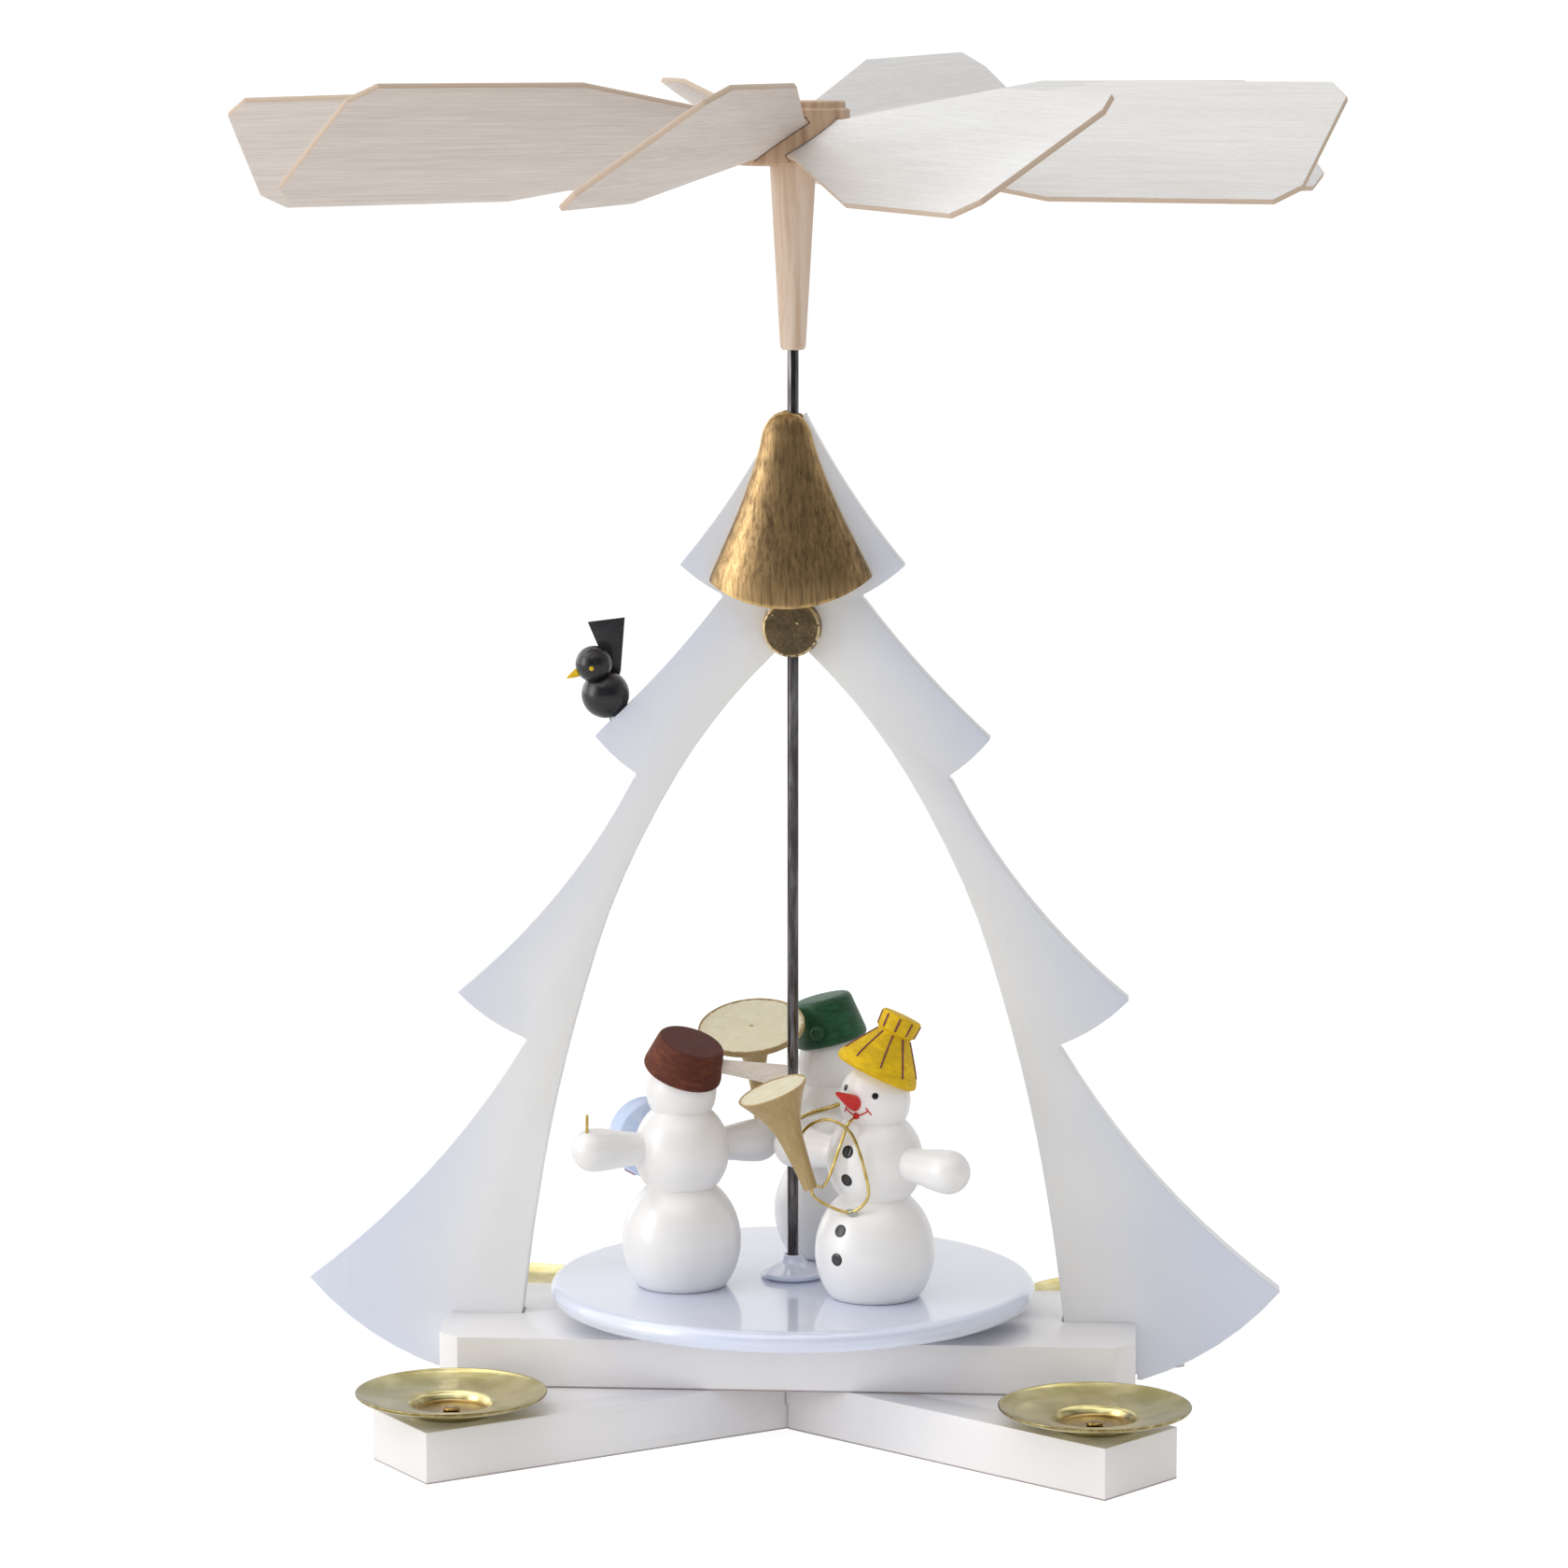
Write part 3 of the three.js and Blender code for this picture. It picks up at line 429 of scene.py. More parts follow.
class Look:
    """A material being built: a Principled shader and what feeds it."""

    def __init__(self, name, slot, **constants):
        self.material = bpy.data.materials.new(name)
        self.material.use_nodes = True
        self.material["slot"] = slot
        self.tree = self.material.node_tree
        self.shader = self.tree.nodes["Principled BSDF"]
        for key, value in constants.items():
            self.shader.inputs[key.replace("_", " ").title().replace("Ior", "IOR")].default_value = value

    def node(self, kind, settings=None, inputs=None, out=0):
        """Adds a node with its settings and inputs, and gives one of its outputs."""
        node = self.tree.nodes.new(kind)
        for key, value in (settings or {}).items():
            setattr(node, key, value)
        for key, value in (inputs or {}).items():
            connect(self.tree, node.inputs[key], value)
        return Value(self.tree, node.outputs[out])

    def place(self, scale=1, own=True):
        """Coordinates in millimetres, of the piece itself or of the whole object, stretched by scale."""
        scales = scale if isinstance(scale, tuple) else (scale,) * 3
        if own:
            start = self.node("ShaderNodeAttribute", {"attribute_name": "own"}, out="Vector")
        else:
            start = self.node("ShaderNodeTexCoord", out="Object")
        return self.node("ShaderNodeMapping", {}, {"Vector": start, "Scale": [s / MM for s in scales]})

    def axes(self, own=True):
        split = self.tree.nodes.new("ShaderNodeSeparateXYZ")
        connect(self.tree, split.inputs[0], self.place(own=own))
        return [Value(self.tree, s) for s in split.outputs]

    def radius(self):
        """Distance from the piece's own Z axis in millimetres."""
        x, y, _ = self.axes()
        return (x * x + y * y) ** 0.5

    def pointed(self):
        """Above a half where the surface bulges, as on a sharp edge."""
        return self.node("ShaderNodeNewGeometry", out="Pointiness")

    def shade(self):
        """The number that the piece was given when it was made."""
        return self.node("ShaderNodeAttribute", {"attribute_name": "shade"}, out="Fac")

    def noise(self, scale=1, detail=3.0, rough=0.5, own=True, distortion=0.0, shift=None):
        """Smooth noise between 0 and 1 whose cells measure 1 / scale millimetres."""
        spot = self.place(scale, own)
        if shift is not None:
            spot = self.node("ShaderNodeVectorMath", {"operation": "ADD"}, {0: spot, 1: shift})
        return self.noise_at(spot, detail, rough, distortion)

    def noise_at(self, spot, detail=3.0, rough=0.5, distortion=0.0):
        return self.node("ShaderNodeTexNoise", {}, {
            "Vector": spot, "Scale": 1.0, "Detail": detail, "Roughness": rough, "Distortion": distortion})

    def vector(self, x, y, z=0.0):
        return self.node("ShaderNodeCombineXYZ", {}, {"X": x, "Y": y, "Z": z})

    def mix(self, factor, a, b):
        node = self.tree.nodes.new("ShaderNodeMix")
        node.data_type = "RGBA"
        connect(self.tree, node.inputs[0], factor)
        for slot_in, term in ((node.inputs[6], a), (node.inputs[7], b)):
            connect(self.tree, slot_in, term if isinstance(term, Value) else (*term, 1.0))
        return Value(self.tree, node.outputs[2])

    def bump(self, height, depth, strength):
        """A relief of depth millimetres."""
        return self.node("ShaderNodeBump", {}, {
            "Height": height, "Distance": depth * MM, "Strength": strength})

    def feed(self, **sockets):
        for key, value in sockets.items():
            connect(self.tree, self.shader.inputs[key.replace("_", " ").title()], value)
        return self.material

    def done(self, base, rough, height, depth, strength):
        """Feeds colour, roughness and relief, which is all that varies in most materials."""
        return self.feed(base_color=base, roughness=rough, normal=self.bump(height, depth, strength))


def tone(key):
    """A colour as it is set in the panel."""
    return tuple(getattr(bpy.context.scene.pyramid_paint, key))


LOOKS = {}


def material_of(name):
    """The material of that name, built once."""
    if name not in LOOKS:
        LOOKS[name] = plain_paint(name) if name in PLAIN else BUILDERS[name]()
    return LOOKS[name]


# Lacquered wood

def tree_lacquer():
    m = Look("tree_lacquer", "white_lacquer", coat_weight=0.25, coat_roughness=0.2)
    x, y, z = m.axes(own=False)
    up = z - BOARD_TOP
    wide, sloping, curving = ARCH
    arch = (wide - up * sloping - up * up * curving).floor_at(0.0)
    cloud = m.noise(0.05, own=False)
    spray = (x.size() - arch + (cloud - 0.5) * 14.0).step(-2.0, 30.0)
    on_face = y.size().step(FACE - 0.3, FACE)
    mist = m.noise(2.2, detail=2, own=False)
    tint = spray * (mist * 0.12 + 0.86) * (on_face * 0.75 + 0.25)
    white = m.mix(cloud, (0.77, 0.765, 0.76), tone("tree_top"))
    white = m.mix(up.step(5.0, 90.0, 0.85, 0.0), white, tone("tree_white"))
    blue = m.mix(up.step(10.0, 60.0), tone("tree_mist"), (0.62, 0.66, 0.78))
    base = m.mix(tint.clamped(), white, blue)
    grain = m.noise((0.9, 0.9, 0.06), detail=4, own=False)
    base = m.mix(grain.step(0.62, 0.8) * 0.10, base, (0.60, 0.60, 0.64))
    worn = m.pointed().step(0.53, 0.62) * m.noise(0.8, detail=4, own=False).step(0.5, 0.72) * 0.35
    off_face = 1.0 - y.size().step(FACE - 0.1, FACE - 0.01)
    base = m.mix(worn * off_face, base, (0.62, 0.57, 0.50))
    orange = m.noise(1.6, own=False)
    relief = grain * 0.5 + orange * 0.5
    return m.done(base, orange * 0.14 + 0.34, relief, 0.05, 0.5)


def board_lacquer():
    m = Look("board_lacquer", "white_lacquer", coat_weight=0.35, coat_roughness=0.15)
    cloud = m.noise(0.06)
    base = m.mix(cloud, (0.87, 0.85, 0.85), tone("board"))
    grain = m.noise((0.05, 0.8, 0.8), detail=4)
    base = m.mix(grain.step(0.6, 0.8) * 0.12, base, (0.66, 0.60, 0.54))
    dust = m.noise(1.1, detail=2).step(0.77, 0.84)
    base = m.mix(dust * 0.5, base, (0.62, 0.57, 0.50))
    # Painted shadow: a dark line along the bottom edge of each bar and of the board, where they sit on the
    # floor and on the bars.
    above_foot = m.axes()[2] - m.shade()
    base = m.mix(above_foot.step(0.08, 0.45, 0.9, 0.0), base, (0.20, 0.13, 0.11))
    relief = grain * 0.6 + m.noise(1.3) * 0.4
    return m.done(base, cloud * 0.16 + 0.28, relief, 0.05, 0.5)


def snow_lacquer():
    m = Look("snow_lacquer", "snow_lacquer", coat_weight=0.4, coat_roughness=0.16)
    cloud = m.noise(0.12, detail=2)
    base = m.mix(cloud, (0.89, 0.87, 0.86), tone("snow"))
    rings = m.noise((0.12, 0.12, 1.5))
    base = m.mix(rings.step(0.6, 0.78) * 0.08, base, (0.74, 0.70, 0.66))
    relief = rings * 0.6 + m.noise(0.45, detail=2) * 0.9
    return m.done(base, cloud * 0.12 + 0.28, relief, 0.07, 0.5)


def table_lacquer():
    m = Look("table_lacquer", "pale_blue_lacquer", coat_weight=1.0, coat_roughness=0.05)
    cloud = m.noise(0.09, detail=4)
    base = m.mix(cloud, (0.71, 0.77, 0.94), tone("table"))
    specking = m.noise(0.7).step(0.6, 0.85)
    base = m.mix(specking * 0.2, base, (0.88, 0.90, 0.95))
    relief = m.noise(0.5) * 0.7 + m.noise((0.04, 0.9, 0.9)) * 0.3
    return m.done(base, cloud * 0.08 + 0.2, relief, 0.03, 0.3)


# Paints

def paint(name, slot, key, dark, gloss, coat=0.3, grain=(0.5, 0.5, 1.6), relief=0.06):
    """A coat of paint on turned wood, thinner and darker where the grain shows."""
    m = Look(name, slot, coat_weight=coat, coat_roughness=0.15, specular_ior_level=0.3)
    streak = m.noise(grain, detail=4)
    cloud = m.noise(0.2)
    base = m.mix((streak * 0.6 + cloud * 0.4).step(0.42, 0.68), dark, tone(key))
    return m, base, m.bump(streak * 0.6 + cloud * 0.6, relief, 0.6), cloud * 0.14 + gloss


PLAIN = {
    # slot, colour setting, darker colour of the grain, least roughness and coat
    "black_paint": ("black_paint", "black", (0.006, 0.006, 0.008), 0.26, 0.4),
    "tail_paint": ("black_paint", "tail", (0.016, 0.015, 0.018), 0.42, 0.3),
    "red_paint": ("red_paint", "red", (0.60, 0.020, 0.018), 0.35, 0.1),
    "yellow_paint": ("yellow_paint", "hat", (0.66, 0.42, 0.004), 0.5, 0),
    "stripe_paint": ("yellow_paint", "stripe", (0.17, 0.055, 0.05), 0.5, 0),
    "blue_paint": ("blue_paint", "drum", (0.62, 0.74, 0.98), 0.55, 0),
    "drum_head": ("blue_paint", "skin", (0.70, 0.77, 0.95), 0.45, 0.1),
    "magenta_paint": ("blue_paint", "mark", (0.22, 0.012, 0.07), 0.34, 0.3),
}


def plain_paint(name):
    m, base, normal, rough = paint(name, *PLAIN[name])
    return m.feed(base_color=base, roughness=rough, normal=normal)


def brown_paint():
    m, base, normal, rough = paint("brown_paint", "brown_paint", "pot", (0.090, 0.020, 0.009), 0.62, 0)
    top = m.axes()[2].step(6.6, 6.85)
    pores = m.noise((1.9, 1.9, 0.4)).step(0.5, 0.7)
    base = m.mix(top * 0.75, base, (0.072, 0.016, 0.011))
    base = m.mix(top * pores * 0.3, base, (0.13, 0.05, 0.04))
    return m.feed(base_color=base, roughness=rough, normal=normal)


def green_paint():
    m, base, normal, rough = paint("green_paint", "green_paint", "bucket", (0.009, 0.060, 0.022), 0.42, 0.1)
    worn = m.noise(1.1).step(0.62, 0.75) * m.axes()[2].step(7.6, 8.6)
    base = m.mix(worn * 0.4, base, (0.05, 0.16, 0.09))
    return m.feed(base_color=base, roughness=rough, normal=normal)


def tan_paint():
    m, base, normal, rough = paint("tan_paint", "horn_tan", "horn", (0.43, 0.30, 0.125), 0.38,
                                    grain=(1.3, 1.3, 0.12), relief=0.03)
    fleck = m.noise(3, detail=2).step(0.55, 0.7)
    base = m.mix(fleck * 0.2, base, (0.62, 0.48, 0.26))
    return m.feed(base_color=base, roughness=rough, metallic=fleck * 0.2 + 0.15, normal=normal)


def cream_face():
    m, base, normal, rough = paint("cream_face", "horn_tan", "horn_face", (0.85, 0.78, 0.56), 0.5, 0)
    pores = m.noise((2.4, 2.4, 0.3)).step(0.55, 0.75)
    base = m.mix(pores * 0.35, base, (0.50, 0.41, 0.23))
    rim = (m.radius() - m.shade()).step(-0.45, -0.15) * m.noise(1.2).step(0.4, 0.55)
    base = m.mix(rim * 0.8, base, (0.36, 0.22, 0.07))
    return m.feed(base_color=base, roughness=rough, normal=normal)


def gold_paint():
    m = Look("gold_paint", "gold_paint", metallic=0.85)
    streak = m.noise((1.4, 1.4, 0.045), detail=5, rough=0.65, distortion=0.15)
    fine = m.noise((4.5, 4.5, 0.12), detail=4, rough=0.6)
    cloud = m.noise((0.09, 0.09, 0.05))
    bright = (streak * 0.6 + fine * 0.25 + cloud * 0.3).step(0.36, 0.78)
    base = m.mix(bright, (0.11, 0.066, 0.032), tone("gold"))
    # Brighter gold along the back rim and the sharp edges: painted highlight where the edges catch the light,
    # with some worn gilding.
    from_face = m.axes()[1].size() - FACE
    sharp = m.pointed().step(0.515, 0.60)
    rim = 1.0 - from_face.step(0.3, 1.0)
    base = m.mix((rim + sharp * 0.5).clamped() * 0.85, base, (0.80, 0.56, 0.22))
    relief = streak * 0.7 + fine * 0.3
    return m.done(base, 0.46 - bright * 0.16, relief, 0.10, 0.6)


def gold_end():
    m = Look("gold_end", "gold_paint", metallic=0.7)
    pits = m.noise(1.6, detail=4, rough=0.65)
    lump = m.noise(0.5, detail=2)
    bright = (pits * 0.6 + lump * 0.5).step(0.3, 0.85)
    base = m.mix(bright, (0.075, 0.053, 0.028), tone("dowel"))
    rim = m.radius().step(DOWEL_RADIUS - 0.55, DOWEL_RADIUS - 0.3) * m.noise(1.1).step(0.35, 0.5)
    chip = m.noise(1.3, detail=2).step(0.71, 0.74)
    base = m.mix((rim * 0.85 + chip).clamped(), base, (0.80, 0.62, 0.34))
    return m.done(base, 0.62 - bright * 0.22, pits + lump * 0.6, 0.2, 0.6)


# Metals

def dish_brass():
    m = Look("dish_brass", "dish_brass", metallic=1.0)
    radius = m.radius()
    rings = m.noise_at(m.vector(radius * 7.0, m.noise(0.12) * 1.4))
    cloud = m.noise(0.16, detail=4)
    base = m.mix(cloud.step(0.35, 0.72), (0.46, 0.395, 0.165), tone("brass"))
    base = m.mix(m.noise(0.9).step(0.62, 0.8) * 0.25, base, (0.34, 0.28, 0.12))
    # Painted shade: the inside of the cup is darkened to brown, as it lies in shade; the nail heads in it
    # take the same colour.
    cup = (1.0 - radius.step(CUP_RADIUS - 0.4, CUP_RADIUS)) * m.axes()[2].step(0.2, 0.4)
    base = m.mix(cup * 0.85, base, (0.22, 0.115, 0.018))
    rim = radius.step(DISH_RADIUS - 0.45, DISH_RADIUS - 0.15) * m.noise(0.7).step(0.3, 0.6, 0.4, 0.9)
    base = m.mix(rim, base, (0.20, 0.14, 0.05))
    return m.done(base, cloud * 0.14 + rings * 0.08 + 0.08, rings, 0.03, 0.35)


def wire_brass():
    m = Look("wire_brass", "wire_brass", metallic=1.0)
    cloud = m.noise(0.5, detail=4)
    base = m.mix(cloud.step(0.4, 0.7), (0.50, 0.36, 0.10), tone("wire"))
    return m.done(base, cloud * 0.14 + 0.16, m.noise((3, 3, 0.6)), 0.02, 0.4)


def rod_steel():
    m = Look("rod_steel", "spindle_steel", metallic=1.0)
    drawn = m.noise((3.2, 3.2, 0.035), detail=4)
    stain = m.noise((0.6, 0.6, 0.09), detail=4, rough=0.6)
    base = m.mix(stain.step(0.4, 0.68), (0.065, 0.058, 0.06), tone("rod"))
    return m.done(base, drawn * 0.14 + stain * 0.10 + 0.06, drawn, 0.02, 0.4)


def screw_steel():
    m = Look("screw_steel", "screw_steel", metallic=1.0)
    cloud = m.noise(0.8)
    base = m.mix(cloud, (0.42, 0.42, 0.44), tone("screw"))
    return m.done(base, cloud * 0.2 + 0.25, m.noise(2), 0.02, 0.4)


# Bare wood

def maple(name, key, dark):
    m = Look(name, "bare_maple", coat_weight=0.12, coat_roughness=0.3)
    x, y, z = m.axes()
    bend = m.noise((0.09, 0.09, 0.02), detail=2)
    rings = m.noise_at(m.vector(x * 0.55 + bend * 4.0, z * 0.02, y * 0.12), 4.0, 0.6)
    base = m.mix(rings.step(0.36, 0.66), dark, tone(key))
    fibre = m.noise((5.0, 5.0, 0.16))
    base = m.mix(fibre.step(0.56, 0.74) * 0.3, base, (0.47, 0.30, 0.18))
    turning = m.noise((0.02, 0.02, 3.2), detail=2)
    relief = fibre * 0.7 + turning * 0.4
    return m.done(base, rings * 0.16 + 0.42, relief, 0.045, 0.6)


def turned_maple():
    return maple("turned_maple", "sleeve", (0.60, 0.43, 0.30))


# Darker copy of turned_maple for the hub: end grain, with painted shade between the blades.
def sawn_maple():
    return maple("sawn_maple", "hub", (0.42, 0.26, 0.15))


def blade_wood():
    m = Look("blade_wood", "blade_wood")
    w = m.axes()[2]
    shade = m.shade()
    shift = m.vector(shade * 31.0, shade * 57.0)
    along = m.noise((0.07, 3.0, 1.0), detail=5, rough=0.68, shift=shift)
    wide = m.noise((0.012, 0.14, 1.0), shift=shift)
    fleck = m.noise((0.8, 6.5, 1.0), rough=0.6, shift=shift)
    # Painted shade: the lower side of each blade gets the darker underside colour; the upper side gets a
    # little of it, differing at random from blade to blade.
    below = w.step(-0.2, 0.2, 0.85, shade * 0.12)
    base = m.mix(along.step(0.35, 0.68), (0.79, 0.785, 0.775), tone("blade"))
    base = m.mix(below, base, m.mix(along.step(0.35, 0.68), (0.53, 0.445, 0.39), tone("blade_underside_shade")))
    base = m.mix(wide.step(0.38, 0.66) * 0.25, base, (0.74, 0.68, 0.62))
    base = m.mix(fleck.step(0.5, 0.72) * 0.35, base, (0.58, 0.51, 0.45))
    edge = 1.0 - w.size().step(BLADE_HALF - 0.045, BLADE_HALF)
    base = m.mix(edge * 0.85, base, (0.56, 0.41, 0.29))
    relief = along * 0.8 + fleck * 0.4
    return m.done(base, along * 0.14 + 0.52, relief, 0.07, 0.7)


def flat_maple():
    m = Look("flat_maple", "bare_maple")
    grain = m.noise((3.0, 0.12, 3.0), detail=4, rough=0.6)
    base = m.mix(grain.step(0.35, 0.7), (0.76, 0.66, 0.57), tone("handle"))
    return m.done(base, grain * 0.15 + 0.5, grain, 0.05, 0.6)


def clear_glue():
    m = Look("clear_glue", "snow_lacquer", transmission_weight=0.85, ior=1.45)
    cloud = m.noise(0.8)
    base = m.mix(cloud, (0.72, 0.80, 0.74), (0.86, 0.90, 0.86))
    return m.done(base, cloud * 0.15 + 0.08, cloud, 0.1, 0.5)


BUILDERS = {f.__name__: f for f in (
    tree_lacquer, board_lacquer, snow_lacquer, table_lacquer, brown_paint, green_paint, tan_paint,
    cream_face, gold_paint, gold_end, dish_brass, wire_brass, rod_steel, screw_steel, turned_maple,
    sawn_maple, blade_wood, flat_maple, clear_glue)}


# Base

def base_piece(name, look_name, foot=0.0):
    edge = bpy.context.scene.pyramid_look.edge
    # foot is the height of the piece's bottom edge, where board_lacquer paints its shadow line.
    solid(name, from_node(name, edge), look_name, "frame", shade=foot)


def bar_frame(name):
    """The bar's own frame, X along it, so that its grain runs along it."""
    return turn("Z", CROSS_TURN + (BAR_ANGLE if name.endswith("lower") else -BAR_ANGLE))


class PYRAMID_OT_base(bpy.types.Operator):
    """Builds the crossed bars, the board and the screws under them"""
    bl_idname = "pyramid.base"
    bl_label = "Base"

    def execute(self, context):
        for name in ("cross_bar_lower", "cross_bar_upper"):
            place = bar_frame(name)
            bm = from_own(name, place, context.scene.pyramid_look.edge)
            solid(name, bm, "board_lacquer", "frame", place)
        base_piece("base_board", "board_lacquer", BAR_TOP)
        for side, x in (("left", -10), ("right", 10)):
            self.screw(f"board_screw_{side}", x)
        return {"FINISHED"}

    def screw(self, node, x):
        """A countersunk screw, with two thin black plates on its head as painted shadow in its cross recess.
        """
        bm = turned(softened([(0, 0.02), (2.9, 0.02), (1.4, 1.6), (1.4, 12), (0, 14)], 0.15, 3), 48)
        solid(node, bm, "screw_steel", "frame", move(x, 0, 0))
        # Two thin black plates, painted shadow where the cross recess would be.
        for angle in (0, 90):
            slot = bmesh.new()
            bmesh.ops.create_cube(slot, size=1.0, matrix=turn("Z", angle) @ Matrix.Diagonal(
                (3.2 * MM, 0.6 * MM, 0.02 * MM, 1)))
            piece(f"{node}_recess_{angle}", slot, "black_paint", "frame", move(x, 0, 0.012))


def dish_profile():
    """The dish's upper and lower skins: cup for the candle, shallow pan and rolled rim."""
    upper = [(0, 0.5), (6.7, 0.5), (7.05, 1.2), (7.5, 1.95), (8.6, 2.3), (11, 2.45), (14, 2.9), (16.4, 3.75),
             (17.15, 4.2)]
    lower = [(DISH_RADIUS, 4.05), (17.2, 3.5), (14.1, 2.45), (11, 2.0), (8.9, 1.8), (7.7, 1.4), (7.4, 0.6),
             (7.0, 0), (0, 0)]
    return softened(upper + lower, 0.7, 4)


class PYRAMID_OT_dishes(bpy.types.Operator):
    """Builds the four candle dishes and the nails that hold them"""
    bl_idname = "pyramid.dishes"
    bl_label = "Candle dishes"

    def execute(self, context):
        for side, sx in (("left", -1), ("right", 1)):
            for end, sy in (("front", -1), ("back", 1)):
                spot = turn("Z", CROSS_TURN + BAR_ANGLE * sx * sy) @ move(sx * DISH_AT, 0, BAR_TOP)
                corner = f"{end}_{side}"
                solid(f"candle_dish_{corner}", turned(dish_profile()), "dish_brass", "frame", spot,
                      f"dish_{corner}")
                # The nail heads stand in the cup, so dish_brass gives them the cup's painted shade.
                nail = [(0, -6.85), (0.7, -6), (0.7, 0.65), (1.6, 0.65), (1.5, 1.05), (0.8, 1.22), (0, 1.25)]
                solid(f"dish_nail_{corner}", turned(softened(nail, 0.2, 3), 40), "dish_brass", "frame", spot,
                      f"nail_{corner}")
        return {"FINISHED"}


# Tree

def bell_half():
    """The front half bell: a round bell pressed flat, with an arched foot and a flat back."""
    widths = [(15.6, 155), (15.1, 158.1), (12.85, 163.2), (9.75, 169.8), (6.65, 177.5), (5.05, 182.6),
              (4.3, 185.6), (2.7, 187.9), (0.4, 188.8)]
    fine = smooth_pairs(widths, 64)

    def width_at(z):
        for (a, low), (b, high) in zip(fine, fine[1:]):
            if low <= z <= high:
                return a + (b - a) * (z - low) / max(high - low, 1e-6)
        return fine[0][0] if z < fine[0][1] else fine[-1][0]

    bm = bmesh.new()
    across, rows = 56, 44
    grid = []
    for i in range(across + 1):
        angle = math.pi * i / across
        foot = FOOT_GUESS
        for _ in range(12):
            foot = FOOT_MIDDLE - math.sqrt(FOOT_RADIUS ** 2 - (width_at(foot) * math.cos(angle)) ** 2)
        column = []
        for k in range(rows + 1):
            z = foot + (BELL_TOP - foot) * k / rows
            w = width_at(z)
            out = FACE + w * BELL_DEPTH * math.sin(angle)
            column.append(bm.verts.new((w * math.cos(angle) * MM, -out * MM, z * MM)))
        grid.append(column)
    for a, b in zip(grid, grid[1:]):
        for k in range(rows):
            bm.faces.new((a[k], a[k + 1], b[k + 1], b[k]))
    front = [column[0] for column in grid]
    inner = [bm.verts.new((v.co.x, -FACE * MM, v.co.z)) for v in front[1:-1]]
    bm.faces.new((front[0], front[1], inner[0]))
    bm.faces.new((front[-2], front[-1], inner[-1]))
    for a, b, c, d in zip(front[1:], front[2:-1], inner[1:], inner):
        bm.faces.new((a, b, c, d))
    bm.faces.new(grid[0] + grid[-1][::-1] + inner[::-1])
    bm.faces.new([column[-1] for column in grid][::-1])
    bmesh.ops.recalc_face_normals(bm, faces=bm.faces[:])
    return round_edges(bm, 0.35 * MM, 3, 40)


class PYRAMID_OT_tree(bpy.types.Operator):
    """Builds the two tree halves, the guide dowel and the half bells"""
    bl_idname = "pyramid.tree"
    bl_label = "Tree"

    def execute(self, context):
        base_piece("tree_half_left", "tree_lacquer")
        base_piece("tree_half_right", "tree_lacquer")
        r = DOWEL_RADIUS
        dowel = [(0, -5.5), (4.9, -5.5), (r, -5.1), (r, 5.1), (4.9, 5.5), (0, 5.5)]
        solid("guide_dowel", turned(softened(dowel, 0.25, 4)), "gold_end", "frame",
              move(0, 0, DOWEL_HEIGHT) @ turn("X", 90))
        lean = move(0, 0, DOWEL_HEIGHT) @ turn("Y", BELL_LEAN) @ move(0, 0, -DOWEL_HEIGHT)
        solid("bell_half_front", bell_half(), "gold_paint", "frame", lean, "bell_front")
        solid("bell_half_back", bell_half(), "gold_paint", "frame", lean @ turn("Z", 180), "bell_back")
        return {"FINISHED"}


class PYRAMID_OT_bird(bpy.types.Operator):
    """Builds the black bird on the left half"""
    bl_idname = "pyramid.bird"
    bl_label = "Bird"

    def execute(self, context):
        body = move(*BIRD_AT)
        head = body @ move(-2, -1.5, 5.8)
        solid("bird_body", ball(4.45), "black_paint", "frame", body)
        solid("bird_head", ball(HEAD_OF_BIRD), "black_paint", "frame", head)
        outline = [(0.4, 1.5), (1.8, 1.5), (2.6, 4), (3.4, 14.1), (-3.5, 13.2), (-1.7, 9)]
        tail = round_edges(slab(outline, 0.9), 0.12 * MM, 2)
        solid("bird_tail", tail, "tail_paint", "frame", body @ move(0, 2.6, 0))
        beak = softened([(0, 2.4), (0.85, 2.6), (0.8, 3.6), (0.45, 4.8), (0.12, 5.7), (0, 5.8)], 0.2, 3)
        solid("bird_beak", turned(beak, 40), "yellow_paint", "frame", head @ turn("Y", -118))
        for name, side in (("front", -1), ("back", 1)):
            way = Vector((-0.02, side * 0.93, -0.14)).normalized()
            piece(f"bird_eye_{name}", dot(0.42), "yellow_paint", "frame",
                  head @ towards(way * (HEAD_OF_BIRD - 0.04), way * 6))
        piece("bird_glue", ball(1.5, (1.5, 0.9, 0.6)), "clear_glue", "frame",
              body @ move(2.4, 0, -3.3) @ turn("Y", -46))
        return {"FINISHED"}


def dot(radius, height=0.14):
    """A drop of paint with its foot at Z = 0."""
    return turned([(0, -0.2), (radius, -0.2), (radius, 0.02), (radius * 0.86, height * 0.6),
                   (radius * 0.5, height * 0.95), (0, height)], 32)


# Turntable

